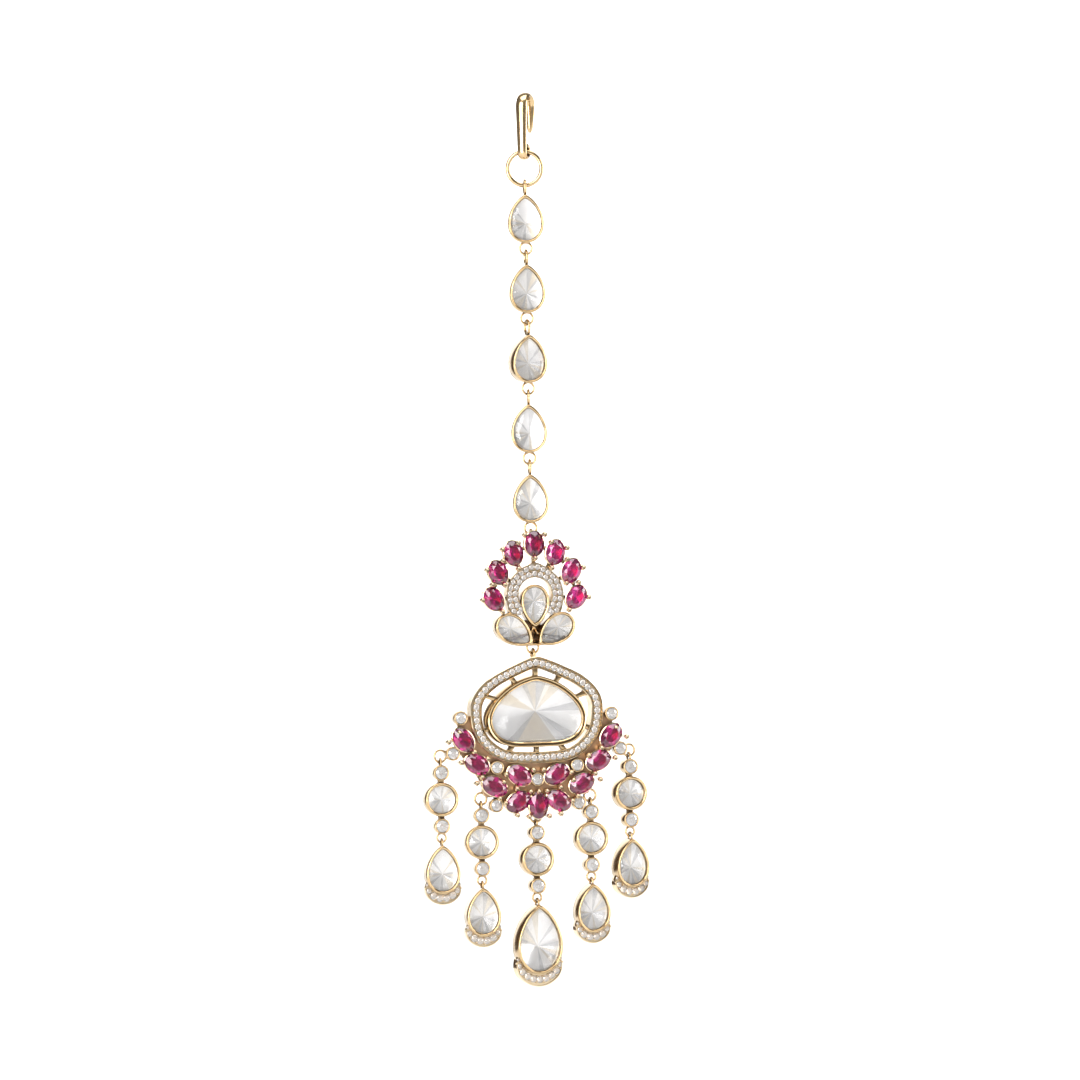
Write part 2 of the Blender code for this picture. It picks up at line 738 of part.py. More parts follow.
def make_pendant(crest, pivot_y, gold, ruby, white):
    """The main pendant under the crest. Returns its frame and its hoops' lower wires."""
    frame = flat_frame("pendant_pivot", crest, hung(0, pivot_y, 0.0))
    middle = FRAME_BELOW - FRAME_HEIGHT - RING_WIRE / 2 - PENDANT_GAP
    outer = mirrored(FRAME_SHAPE, FRAME_HALF_WIDTH, FRAME_HEIGHT, middle - FRAME_BELOW)
    inner = offset(outer, -FRAME_BAND)
    setting = band(outer, inner, PENDANT_BACK, PENDANT_BACK + FRAME_DEPTH)

    stone = mirrored(STONE_SHAPE, STONE_HALF_WIDTH, STONE_HEIGHT, middle - STONE_BELOW)
    hollow = offset(stone, STONE_GAP)
    rim = offset(hollow, STONE_WALL)
    bezel_back = PENDANT_BACK - STONE_BACK
    bezel_front = bezel_back + BEZEL_DEPTH
    solids = [prism(rim, bezel_back, bezel_front)]
    recesses = [prism(hollow, bezel_back + BEZEL_FLOOR, bezel_front + MM)]
    solids += make_spokes(rim, inner, middle, PENDANT_BACK + FRAME_DEPTH / 2)

    centre = middle - CRESCENT_DROP
    edge = []
    for angle, share in both_sides(CRESCENT_EDGE):
        edge.append(polar(angle, CRESCENT_RADIUS * share + CRESCENT_MARGIN, centre))
    plate_back = -HOOP_WIRE / 4
    plate = prism(edge, plate_back, plate_back + CRESCENT_PLATE)
    opening = prism(offset(outer, -FRAME_BAND / 2), -MM, 2 * MM)
    solids.append(combine(plate, [opening], "DIFFERENCE"))
    rubies = []
    ruby_back = plate_back + CRESCENT_PLATE - SEAT_SINK
    size = (CRESCENT_RUBY_WIDTH, CRESCENT_RUBY_LENGTH)
    for angle, share, tilt in both_sides(CRESCENT_RUBIES):
        place = polar(angle, CRESCENT_RADIUS * share, centre)
        rubies.append((place.x, place.y, tilt))
        body, recess = ruby_seat(*size, *rubies[-1], ruby_back)
        solids.append(body)
        recesses.append(recess)
    melee_back = -HOOP_WIRE / 2
    melee_front = melee_back + MELEE_DEPTH
    for angle, share in both_sides(CRESCENT_MELEE):
        place = polar(angle, CRESCENT_RADIUS * share, centre)
        solids.append(melee_bezel(MELEE_RADIUS, melee_back, melee_front, *place))

    loop_y = loop_centre(RING_WIRE, CREST_LOOP_RADIUS, LOOP_WIRE)
    solids.append(ring(CREST_LOOP_RADIUS, LOOP_WIRE, 0, loop_y, edge_on=True))
    hoops = []
    for angle, share in both_sides(CRESCENT_HOOPS):
        place = polar(angle, CRESCENT_RADIUS * share, centre)
        solids.append(ring(HOOP_RADIUS, HOOP_WIRE, place.x, place.y))
        hoops.append((place.x, place.y - HOOP_RADIUS + HOOP_WIRE / 2))
    setting = combine(setting, solids, "UNION")
    setting = combine(setting, recesses, "DIFFERENCE")
    finish(setting, "pendant_setting", frame, gold)

    centre_stone = gem(stone, CENTRE_CROWN, CENTRE_PAVILION)
    finish(centre_stone, "pendant_stone", frame, white, z=bezel_front - CENTRE_SINK)
    for number, (x, y, tilt) in enumerate(rubies, 1):
        make_ruby(f"pendant_ruby_{number}", frame, *size, x, y, tilt, ruby_back, ruby)
    return frame, hoops


def make_spokes(rim, inner, middle, level):
    """Short bars that hold the centre bezel in the frame, evenly round it."""
    rim = moved(rim, 0, -middle)
    inner = moved(inner, 0, -middle)
    spokes = []
    for i in range(SPOKE_COUNT):
        turn = 360 * i / SPOKE_COUNT
        direction = Vector((sin(radians(turn)), cos(radians(turn))))
        start = reach(rim, direction) - STONE_WALL / 2
        end = reach(inner, direction) + FRAME_BAND / 2
        bar = moved(bar_outline(SPOKE_WIDTH, start, end), 0, middle, -turn)
        spokes.append(prism(bar, level - SPOKE_DEPTH / 2, level + SPOKE_DEPTH / 2))
    return spokes


# Drops

def make_drop(number, pendant, hoop, width, height, border, gold, white):
    """A soldered bar of three round bezels and the pear that hangs from it."""
    frame = flat_frame(f"drop_place_{number}", pendant, hung(*hoop, BAR_TWISTS[number - 1]))
    loop_y = loop_centre(HOOP_WIRE, DROP_LOOP_RADIUS, DROP_LOOP_WIRE)
    top = -HOOP_WIRE / 2 - HANG_GAP
    back = -BAR_DEPTH / 2
    front = back + BAR_DEPTH
    small_y = top - BAR_SMALL_RADIUS
    big_y = small_y - BAR_STEP
    last_y = big_y - BAR_STEP
    small_back = back + BAR_SMALL_SINK
    small_front = front - BAR_SMALL_SINK
    ring_y = last_y - BAR_SMALL_RADIUS + SOLDER - DROP_RING_RADIUS
    bar = prism(moved(ellipse(BAR_BIG_RADIUS, BAR_BIG_RADIUS, ROUND_SIDES), 0, big_y), back, front)
    bar = combine(bar, [
        prism(bar_outline(BAR_BRIDGE, last_y, small_y), -BAR_BRIDGE / 2, BAR_BRIDGE / 2),
        melee_bezel(BAR_SMALL_RADIUS, small_back, small_front, 0, small_y),
        melee_bezel(BAR_SMALL_RADIUS, small_back, small_front, 0, last_y),
        ring(DROP_LOOP_RADIUS, DROP_LOOP_WIRE, 0, loop_y, edge_on=True),
        ring(DROP_RING_RADIUS, DROP_RING_WIRE, 0, ring_y),
    ], "UNION")
    hollow = BAR_BIG_RADIUS - ROUND_WALL
    recess = moved(ellipse(hollow, hollow, ROUND_SIDES), 0, big_y)
    bar = combine(bar, [prism(recess, back + BEZEL_FLOOR, front + MM)], "DIFFERENCE")
    finish(bar, f"drop_bar_{number}", frame, gold)
    seat = ellipse(hollow - STONE_GAP, hollow - STONE_GAP, ROUND_SIDES)
    stone = gem(seat, ROUND_CROWN, ROUND_PAVILION)
    finish(stone, f"drop_round_{number}", frame, white, y=big_y, z=front - STONE_SINK)

    pear_pivot = ring_y - DROP_RING_RADIUS + DROP_RING_WIRE / 2
    turn = PEAR_TWISTS[number - 1] - BAR_TWISTS[number - 1]
    pear_frame = flat_frame(f"drop_pear_place_{number}", frame, hung(0, pear_pivot, turn))
    loop_y = loop_centre(DROP_RING_WIRE, DROP_LOOP_RADIUS, DROP_LOOP_WIRE)
    tip = loop_y - DROP_LOOP_RADIUS + 2 * SOLDER
    back = -BEZEL_DEPTH / 2
    setting, recess, seat = pear_cup(width, height, tip, BEZEL_DEPTH, back)
    round_depth = height * BORDER_CURVE_SHARE + border
    border_edge = lower_half(width / 2 + border * BORDER_SIDE_SHARE, round_depth)
    border_edge = moved(border_edge, 0, tip - height - border + round_depth)
    border_back = back + BORDER_LIFT
    setting = combine(setting, [
        prism(border_edge, border_back, border_back + BORDER_DEPTH),
        ring(DROP_LOOP_RADIUS, DROP_LOOP_WIRE, 0, loop_y, edge_on=True),
    ], "UNION")
    setting = combine(setting, [recess], "DIFFERENCE")
    finish(setting, f"drop_setting_{number}", pear_frame, gold)
    stone = gem(seat, PEAR_CROWN, PEAR_PAVILION)
    finish(stone, f"drop_pear_{number}", pear_frame, white, z=back + BEZEL_DEPTH - STONE_SINK)


def main():
    gold = make_material("gold", GOLD, 0.22, 1.0)
    ruby = make_material("ruby", RUBY, 0.05, 0.0, 0.6)
    white = make_material("white_stone", WHITE, 0.03, 0.0, 0.6)
    eye = make_hook(gold)
    pivot = make_hook_ring(eye, gold)
    wire = HOOK_RING_WIRE
    for number in range(1, LINK_COUNT + 1):
        pivot = make_link(number, pivot, wire, gold, white)
        wire = RING_WIRE
    crest, pendant_y = make_crest(pivot, gold, ruby, white)
    pendant, hoops = make_pendant(crest, pendant_y, gold, ruby, white)
    middle = len(hoops) // 2
    for number, hoop in enumerate(hoops, 1):
        size = (DROP_WIDTH, DROP_HEIGHT, DROP_BORDER)
        if number == middle + 1:
            size = (CENTRE_DROP_WIDTH, CENTRE_DROP_HEIGHT, CENTRE_DROP_BORDER)
        make_drop(number, pendant, hoop, *size, gold, white)


main()
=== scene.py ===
"""Maang tikka: the finish of a hook, a pear-set chain, a lotus crest, a pendant and five drops.

The pieces are modelled in flat frames: x to the right, y up, z to the front, with the wire
that carries the piece at the origin. place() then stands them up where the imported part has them.
"""
import json
from math import cos, degrees, pi, radians, sin, sqrt

import bmesh
import bpy
from mathutils import Matrix, Vector


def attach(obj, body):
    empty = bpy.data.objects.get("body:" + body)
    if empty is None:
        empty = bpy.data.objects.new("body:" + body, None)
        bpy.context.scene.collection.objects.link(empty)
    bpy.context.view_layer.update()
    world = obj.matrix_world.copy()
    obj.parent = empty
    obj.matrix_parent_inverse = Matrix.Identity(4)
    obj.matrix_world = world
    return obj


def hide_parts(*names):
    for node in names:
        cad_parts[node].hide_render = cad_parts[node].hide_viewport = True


MM = 0.001
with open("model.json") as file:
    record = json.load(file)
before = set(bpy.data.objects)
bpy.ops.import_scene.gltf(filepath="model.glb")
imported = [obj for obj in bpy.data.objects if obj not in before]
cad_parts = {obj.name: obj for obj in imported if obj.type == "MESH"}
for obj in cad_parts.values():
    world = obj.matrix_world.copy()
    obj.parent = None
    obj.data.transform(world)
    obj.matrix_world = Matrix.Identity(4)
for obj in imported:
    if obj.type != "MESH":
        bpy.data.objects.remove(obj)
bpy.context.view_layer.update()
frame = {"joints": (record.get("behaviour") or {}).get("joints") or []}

# Photograph
PHOTO_SIDE = 1080
PIXEL = 0.16 * MM
ORIGIN_PIXEL = (525.2, 98.5)
CAMERA_AZIMUTH = -15.0
CAMERA_ELEVATION = 2.0
CAMERA_ROLL = -1.0
CAMERA_DISTANCE = 1.5

# Clearances and solder
HANG_GAP = 0.20 * MM
SOLDER = 0.28 * MM
STONE_GAP = 0.10 * MM

# Hook and its ring
HOOK_INNER_RADIUS = 1.5 * MM
HOOK_THICK = 1.0 * MM
HOOK_WIDTH_SHARE = 1.9
HOOK_EYE_DROP = 8.45 * MM
HOOK_EYE_RADIUS = 1.0 * MM
HOOK_EYE_SHARE = 0.8
HOOK_TIP_DROP = 5.5 * MM
HOOK_POINT = 0.2
HOOK_LEG_STEPS = 8
HOOK_CROOK_STEPS = 24
HOOK_EYE_STEPS = 28
HOOK_EYE_TURN = 1.72
HOOK_TWIST = -34.0
HOOK_RING_TWIST = -15.0
HOOK_RING_RADIUS = 3.05 * MM
HOOK_RING_WIRE = 0.7 * MM

# Loops and rings
RING_RADIUS = 1.15 * MM
RING_WIRE = 0.4 * MM
LOOP_RADIUS = 1.375 * MM
LOOP_WIRE = 0.5 * MM
CREST_LOOP_RADIUS = 1.2 * MM
DROP_RING_RADIUS = 0.9 * MM
DROP_RING_WIRE = 0.36 * MM
DROP_LOOP_RADIUS = 0.85 * MM
DROP_LOOP_WIRE = 0.36 * MM

# Bezels and links
BEZEL_DEPTH = 3.0 * MM
BEZEL_WALL = 0.5 * MM
BEZEL_FLOOR = 0.5 * MM
RIM_DEPTH = 0.85 * MM
LINK_COUNT = 5
LINK_WIDTH = 5.8 * MM
LINK_HEIGHT = 7.8 * MM
LINK_TWISTS = (-10.0, -6.0, 3.0, -14.0, -9.0)

# Cuts of the white stones: girdle under the top, crown over the girdle, depth of the pavilion
CREST_CUT = (0.85 * MM, 0.20 * MM, 0.60 * MM)
CENTRE_CUT = (0.60 * MM, 0.40 * MM, 1.50 * MM)
ROUND_CUT = (0.60 * MM, 0.40 * MM, 0.85 * MM)
MELEE_CUT = (0.16 * MM, 0.24 * MM, 0.50 * MM)
# A pear's pavilion goes as deep as a share of its height
PEAR_CUT = (0.95 * MM, 0.28 * MM)
PEAR_PAVILION_SHARE = 0.12
PEAR_TABLE = 0.68
PEAR_CENTRE_SHARE = 0.60

# Rubies
RUBY_SEAT_DEPTH = 1.4 * MM
CREST_RUBY_WIDTH = 3.05 * MM
CREST_RUBY_LENGTH = 4.0 * MM
CRESCENT_RUBY_WIDTH = 3.0 * MM
CRESCENT_RUBY_LENGTH = 4.25 * MM
RUBY_CUT = (0.0, 0.62 * MM, 1.05 * MM)
PRONG_RADIUS = 0.46 * MM

# Crest
CREST_BACK = -0.5 * MM
CREST_DEPTH = 2.8 * MM
CREST_HANG = 10.2 * MM
ARCH_RUBY_RADIUS = 8.7 * MM
ARCH_WIDTH = 9.5 * MM
ARCH_HEIGHT = 8.4 * MM
ARCH_RISE = 5.75 * MM
ARCH_HOLE_RADIUS = 2.75 * MM
ARCH_HOLE_RISE = 0.55 * MM
ARCH_DEPTH = 2.2 * MM
ARCH_SINK = 0.2 * MM
ARCH_SWING = 144.0
ARCH_RIM = 0.2 * MM
ARCH_ROWS = (0.28, 0.74)
ARCH_PAVE = 0.45 * MM
ARCH_PAVE_STEP = 1.0 * MM
ARCH_PAVE_SINK = 0.10 * MM
ARCH_GRAIN = 0.14 * MM
ARCH_SPOKE_WIDTH = 0.6 * MM
ARCH_SPOKE_DEPTH = 0.85 * MM
ARCH_SPOKE_ROOT = 0.5 * MM
ARCH_SPOKE_SHORT = 1.4 * MM
JOIN_RISE = 1.1 * MM
JOIN_RADIUS = 0.34 * MM
CREST_PRONG_RISE = 2.1 * MM
GRAIN_ROOT = 0.3 * MM
HEART_WIDTH = 4.7 * MM
HEART_HEIGHT = 6.8 * MM
HEART_RISE = 2.2 * MM
LEAF_WIDTH = 4.7 * MM
LEAF_HEIGHT = 7.0 * MM
LEAF_TILT = 54.0
LEAF_TIP_X = 0.55 * MM
LEAF_TIP_DROP = 7.3 * MM
BASE_WIDTH = 11.4 * MM
BASE_HEIGHT = 3.9 * MM
BASE_DEPTH = 1.5 * MM
BASE_LIFT = 0.1 * MM
BASE_FLOOR = 0.3 * MM
BASE_CLEAR = 0.14 * MM
BASE_RAIL = 0.42 * MM
BASE_MARGIN = 0.5 * MM
WEB_WIDTH = 2.6 * MM
WEB_LOW = 0.3 * MM
WEB_HIGH = 1.2 * MM
CREST_RING_DROP = 0.15 * MM

# Pendant
PENDANT_GAP = 0.25 * MM
PENDANT_BACK = -0.6 * MM
FRAME_HALF_WIDTH = 10.95 * MM
FRAME_HEIGHT = 17.1 * MM
FRAME_BELOW = 8.3 * MM
FRAME_BAND = 1.85 * MM
FRAME_DEPTH = 2.6 * MM
FRAME_RIM = 0.24 * MM
FRAME_SINK = 0.30 * MM
FRAME_PAVE = 0.50 * MM
FRAME_PAVE_STEP = 1.06 * MM
FRAME_PAVE_SINK = 0.14 * MM
FRAME_GRAIN = 0.17 * MM
CENTRE_BEZEL_SINK = 0.2 * MM
STONE_HALF_WIDTH = 7.3 * MM
STONE_HEIGHT = 9.5 * MM
STONE_BELOW = 4.75 * MM
STONE_WALL = 0.85 * MM
SPOKE_COUNT = 10
SPOKE_WIDTH = 0.7475 * MM
SPOKE_BACK = 0.55 * MM
SPOKE_FRONT = 1.0 * MM
CRESCENT_DROP = 3.05 * MM
CRESCENT_RADIUS = 12.0 * MM
CRESCENT_MARGIN = 0.6 * MM
CRESCENT_PLATE = 0.9 * MM
CRESCENT_PRONG_RISE = 2.0 * MM
PRONG_ROOT = 0.1 * MM
PLATE_STEPS = 72
MELEE_RADIUS = 1.15 * MM
MELEE_DEPTH = 2.0 * MM
MELEE_WALL_SHARE = 0.26
MELEE_SEAT = 0.75 * MM
HOOP_RADIUS = 1.15 * MM
HOOP_WIRE = 0.4 * MM

# Drops
BAR_SMALL_RADIUS = 1.28 * MM
BAR_BIG_RADIUS = 2.75 * MM
BAR_STEP = 4.27 * MM
BAR_DEPTH = 2.4 * MM
BAR_BRIDGE = 1.0 * MM
BAR_SMALL_SINK = 0.2 * MM
ROUND_WALL = 0.6 * MM
DROP_WIDTH = 5.6 * MM
DROP_HEIGHT = 7.8 * MM
DROP_BORDER = 1.8 * MM
CENTRE_DROP_WIDTH = 7.7 * MM
CENTRE_DROP_HEIGHT = 11.1 * MM
CENTRE_DROP_BORDER = 2.1 * MM
BORDER_DEPTH = 1.8 * MM
BORDER_LIFT = 0.4 * MM
BORDER_HORN = 0.3 * MM
BORDER_SIDE_SHARE = 0.42
BORDER_CURVE_SHARE = 0.3
BORDER_END_SHARE = 0.96
BORDER_SWING = 84.0
BORDER_STEPS = 60
BORDER_TAPER = 0.97
BORDER_TAPER_FROM = 0.45
BORDER_RIM = 0.2 * MM
BORDER_OVERLAP = 0.15 * MM
BORDER_PAVE_MOST = 0.56 * MM
BORDER_PAVE_LEAST = 0.26 * MM
BORDER_PAVE_STEP = 1.12 * MM
BORDER_PAVE_SINK = 0.08 * MM
BORDER_GRAIN = 0.17 * MM
BORDER_GRAIN_REACH = 0.44 * MM
BORDER_GRAIN_ROOT = 0.4 * MM
BORDER_GRAIN_RISE = 0.05 * MM
BAR_TWISTS = (-2.0, -4.0, 3.0, 2.0, 6.0)
PEAR_TWISTS = (-4.0, -3.0, 6.0, 4.0, 8.0)

# Arch rubies of one half: degrees from the top, share of the arch radius, tilt
ARCH_RUBIES = (
    (0.0, 1.000, 0.0), (25.5, 0.925, 13.0), (55.0, 0.850, 27.0), (90.0, 0.785, 38.0),
)
# The crest's rubies after this one, from the left, are paler: painted light on the right side
PAINTED_LIGHT_AFTER = 4
# Prong beads of the crest, one half: degrees from the top, share of the arch radius
CREST_PRONGS = (
    (0.0, 0.735), (9.3, 1.185), (17.0, 1.070), (30.0, 0.635), (34.0, 1.100), (41.0, 0.930),
    (59.5, 1.065), (66.0, 0.640), (72.0, 0.865), (90.5, 1.010), (110.0, 0.675),
)
# Outlines of one half, from the apex down: share of the half width, share of the height
ARCH_SHAPE = (
    (0.00, 1.00), (0.33, 0.93), (0.55, 0.85), (0.81, 0.71), (0.95, 0.55), (1.00, 0.38),
    (0.97, 0.21), (0.89, 0.05), (0.60, 0.00),
)
BASE_SHAPE = (
    (0.00, 1.00), (0.16, 0.62), (0.50, 0.50), (1.00, 0.46), (0.93, 0.28), (0.72, 0.12),
    (0.45, 0.03), (0.15, 0.00),
)
FRAME_SHAPE = (
    (0.00, 1.000), (0.17, 0.972), (0.46, 0.892), (0.69, 0.815), (0.88, 0.710), (0.98, 0.600),
    (1.00, 0.485), (0.985, 0.365), (0.93, 0.255), (0.82, 0.155), (0.66, 0.072), (0.46, 0.018),
    (0.17, 0.000),
)
STONE_SHAPE = (
    (0.00, 1.000), (0.25, 0.955), (0.50, 0.865), (0.74, 0.725), (0.92, 0.560), (1.00, 0.385),
    (0.95, 0.210), (0.78, 0.075), (0.50, 0.010), (0.18, 0.000),
)
# Crescent rubies of one half: degrees from straight down, share of the crescent radius, tilt
CRESCENT_RUBIES = (
    (0.0, 1.000, 0.0), (16.5, 0.985, 60.0), (39.5, 0.945, -65.0), (63.0, 0.940, -63.0),
    (84.5, 1.025, -40.0), (23.5, 0.645, -60.0),
)
CRESCENT_MELEE = (
    (0.0, 0.655), (49.0, 0.735), (30.0, 1.140), (76.5, 1.190), (100.5, 1.060),
)
CRESCENT_HOOPS = (
    (0.0, 1.155), (40.0, 1.175), (76.5, 1.340),
)
CRESCENT_EDGE = (
    (0.0, 1.000), (17.0, 1.000), (33.0, 1.010), (40.0, 1.075), (50.0, 0.970), (66.0, 0.985),
    (80.0, 1.060), (92.0, 1.010), (103.0, 0.900),
)
# Prong beads of the crescent, one half, same columns
CRESCENT_PRONGS = (
    (0.0, 0.815), (7.0, 1.155), (8.0, 0.820), (7.5, 0.530), (15.0, 1.160), (21.5, 0.825),
    (25.8, 1.060), (31.2, 1.040), (35.5, 0.830), (38.0, 0.730), (51.5, 1.090), (52.5, 0.985),
    (63.0, 0.785), (69.5, 1.135), (73.5, 0.915), (84.5, 1.235), (90.0, 1.080),
)

# How fine the surfaces are
OUTLINE_POINTS = 96
RING_STEPS = 40
WIRE_SIDES = 12
SMALL_POINTS = 32
PAVE_POINTS = 16
SHARP_ANGLE = 40.0
METAL_SCALE = 260.0
GEM_SCALE = 420.0

# Studio
STAGE_FLOOR = -0.19
STAGE_HALF = 8.0
STAGE_BEND = 1.6
STAGE_CURVE = 1.4
STAGE_STEPS = 16
FLAG_SPOT = (-0.25, 0.32, -0.05)
FLAG_SIZE = (0.30, 0.01, 0.9)
TENT_SIDES = 0.28
TENT_FRONT = 0.42
TENT_BELOW = 0.50
TENT_ABOVE = 1.0
LAMP_AIM = (0.0, 0.0, -0.07)
# Each lamp's place, aim, size and power
LAMPS = {
    "left_box": ((-0.55, -0.55, 0.15), LAMP_AIM, (0.45, 0.9), 10.5),
    "right_box": ((0.75, -0.35, 0.05), LAMP_AIM, (0.35, 0.8), 6.5),
    "top_box": ((0.0, -0.1, 0.75), LAMP_AIM, (0.8, 0.6), 6.5),
    "low_box": ((-0.50, -0.55, -0.14), LAMP_AIM, (0.4, 0.10), 0.5),
    "backdrop_wash": ((0.7, 1.4, 1.6), (0.7, 3.0, 0.2), (3.0, 0.8), 90.0),
}

# Places of the finishes in a piece's list. SHADE is the darker gold of painted shade.
GOLD, SHADE, FOIL, BEAD = range(4)
CLEAR, PAINTED_SHADE_FACET, PAINTED_GOLD_REFLECTION = range(3)
# Painted shade and painted gold reflection on a white stone's lower facets, anticlockwise from the right
FACET_PAINTED_LIGHT = (CLEAR, CLEAR, PAINTED_SHADE_FACET, CLEAR, PAINTED_GOLD_REFLECTION, PAINTED_SHADE_FACET, PAINTED_GOLD_REFLECTION, CLEAR, PAINTED_SHADE_FACET, CLEAR, CLEAR, CLEAR,
               CLEAR, PAINTED_GOLD_REFLECTION, CLEAR, CLEAR, PAINTED_SHADE_FACET, PAINTED_GOLD_REFLECTION, PAINTED_SHADE_FACET, CLEAR, PAINTED_GOLD_REFLECTION, CLEAR, CLEAR, PAINTED_SHADE_FACET)


# Outlines. Each is a function of how far it grows, so that walls and rims can follow it

def even_loop(points, count):
    """The closed outline again with evenly spaced points, starting at its first one."""
    sides = [(b - a).length for a, b in zip(points, points[1:] + points[:1])]
    whole = sum(sides)
    spots = []
    at = 0
    passed = 0.0
    for i in range(count):
        goal = whole * i / count
        while passed + sides[at] < goal:
            passed += sides[at]
            at += 1
        a = points[at]
        b = points[(at + 1) % len(points)]
        spots.append(a.lerp(b, (goal - passed) / sides[at]))
    return spots


def smooth_loop(points, steps=8):
    """A soft curve through the points of a closed outline."""
    soft = []
    count = len(points)
    for i in range(count):
        p0, p1, p2, p3 = (points[(i + k) % count] for k in (-1, 0, 1, 2))
        for j in range(steps):
            t = j / steps
            bend = (2 * p1 + (p2 - p0) * t + (2 * p0 - 5 * p1 + 4 * p2 - p3) * t * t
                    + (3 * p1 - p0 - 3 * p2 + p3) * t * t * t) / 2
            soft.append(bend)
    return soft


def offset(outline, distance):
    """The outline grown by a distance, with mitred corners. Below zero it shrinks."""
    grown = []
    for i, point in enumerate(outline):
        before = (point - outline[i - 1]).normalized()
        after = (outline[(i + 1) % len(outline)] - point).normalized()
        normal = Vector((before.y + after.y, -before.x - after.x)).normalized()
        lean = normal.dot(Vector((before.y, -before.x)))
        grown.append(point + normal * distance / max(lean, 0.5))
    return grown


def oval(half_width, half_height, count=SMALL_POINTS):
    def shape(grow):
        turns = [2 * pi * i / count for i in range(count)]
        wide = half_width + grow
        high = half_height + grow
        return [Vector((wide * cos(t), high * sin(t))) for t in turns]
    return shape


def pear(width, height, count=OUTLINE_POINTS):
    """A pear with its point at the origin and its round end below."""
    widest = 0.862
    tip_share = 1.35

    def shape(grow):
        wide = (width / 2 + grow) / widest
        tip = grow * tip_share
        high = height + grow + tip
        points = []
        for i in range(count * 2):
            t = pi * i / count
            x = -wide * sin(t) * sqrt(abs(sin(t / 2)))
            points.append(Vector((x, tip - high / 2 * (1 - cos(t)))))
        return even_loop(points, count)
    return shape


def drawn(rows, half_width, height, foot, count=OUTLINE_POINTS):
    """A symmetric outline through the rows of its right half, anticlockwise from the apex."""
    right = [Vector((x * half_width, foot + y * height)) for x, y in rows]
    left = [Vector((-p.x, p.y)) for p in right[1:]]
    corners = [right[0]] + left + right[:0:-1]

    def shape(grow):
        return even_loop(smooth_loop(offset(corners, grow)), count)
    return shape


def lower_half(half_width, depth, count=OUTLINE_POINTS):
    """The lower half of an ellipse with short upright ends."""
    steps = 24
    turns = [-pi * i / steps for i in range(steps + 1)]
    end = half_width * BORDER_END_SHARE
    corners = [Vector((end, BORDER_HORN))]
    corners += [Vector((half_width * cos(t), depth * sin(t))) for t in turns]
    corners.append(Vector((-end, BORDER_HORN)))
    corners.reverse()

    def shape(grow):
        return even_loop(offset(corners, grow), count)
    return shape


def moved(shape, x, y, turn=0.0):
    """The shape turned by some degrees about its origin, then moved."""
    matrix = Matrix.Rotation(radians(turn), 2)

    def placed(grow):
        return [matrix @ point + Vector((x, y)) for point in shape(grow)]
    return placed


def larger(shape, distance):
    """The same shape, larger by a distance. Below zero it is smaller."""
    def shaped(grow):
        return shape(grow + distance)
    return shaped


def polar(angle, radius, centre_y):
    """The place at some degrees from straight down, positive to the right."""
    turn = radians(angle)
    return Vector((radius * sin(turn), centre_y - radius * cos(turn)))


def both_sides(rows):
    """Rows of one half as whole rows, left to right. A row at the middle stands once."""
    whole = []
    for row in rows:
        whole.append(row)
        if row[0] > 0.0:
            whole.append((-row[0], row[1]) + tuple(-tilt for tilt in row[2:]))
    return sorted(whole, key=lambda row: row[0])


def places(rows, radius, centre_y, top=False):
    """Where the rows of one half lie on both sides, left to right, each with its tilt if any."""
    spots = []
    for angle, share, *tilt in both_sides(rows):
        spot = polar(180 - angle if top else angle, radius * share, centre_y)
        spots.append((spot.x, spot.y, *tilt))
    return spots


def reach(outline, centre, direction):
    """How far the outline lies from a point along a direction."""
    far = 0.0
    for a, b in zip(outline, outline[1:] + outline[:1]):
        start = a - centre
        side = b - a
        across = direction.x * side.y - direction.y * side.x
        if abs(across) < 1e-12:
            continue
        along = (start.x * side.y - start.y * side.x) / across
        share = (start.x * direction.y - start.y * direction.x) / across
        if along > 0 and 0 <= share <= 1:
            far = max(far, along)
    return far


# Modelling

def loop_edges(verts):
    """The edges that join a loop of points in order."""
    pairs = zip(verts, verts[1:] + verts[:1])
    return [next(e for e in a.link_edges if e.other_vert(a) is b) for a, b in pairs]


def loops_of(shape, rows):
    """Outlines and heights from a shape and its rows of growth and height."""
    return [(shape(grow), height) for grow, height in rows]


def follow(bm, loops):
    """Walls through outlines of equal count, each with its height. Returns the end loops."""
    verts = bmesh.ops.create_circle(bm, segments=len(loops[0][0]), radius=1.0)["verts"]
    first = verts
    for step, (outline, height) in enumerate(loops):
        if step > 0:
            made = bmesh.ops.extrude_edge_only(bm, edges=loop_edges(verts))["geom"]
            fresh = {part for part in made if isinstance(part, bmesh.types.BMVert)}
            verts = [next(e.other_vert(v) for e in v.link_edges if e.other_vert(v) in fresh)
                     for v in verts]
        for vert, spot in zip(verts, outline):
            vert.co = (spot.x, spot.y, height)
    return first, verts


def close(bm, verts):
    """A flat cap in a loop. Returns its faces."""
    return bmesh.ops.edgeloop_fill(bm, edges=loop_edges(verts))["faces"]


def solid(bm, shape, rows, finish=GOLD):
    """A closed body that follows a shape, capped at both ends. The finish is the front cap's."""
    first, last = follow(bm, loops_of(shape, rows))
    close(bm, first)
    for face in close(bm, last):
        face.material_index = finish


def rolled_rows(back, front, wall, seat):
    """Rows of a bezel: soft back edge, outer wall, rolled rim, inner wall down to its floor."""
    soft = wall * 0.30
    return [
        (-soft, back),
        (-soft * 0.3, back + soft * 0.3),
        (0.0, back + soft),
        (0.0, front - wall * 0.75),
        (-wall * 0.08, front - wall * 0.30),
        (-wall * 0.26, front - wall * 0.06),
        (-wall * 0.48, front),
        (-wall * 0.70, front - wall * 0.10),
        (-wall * 0.85, front - wall * 0.34),
        (-wall, front - wall * 0.9),
        (-wall, front - RIM_DEPTH),
        (-wall, seat),
    ]


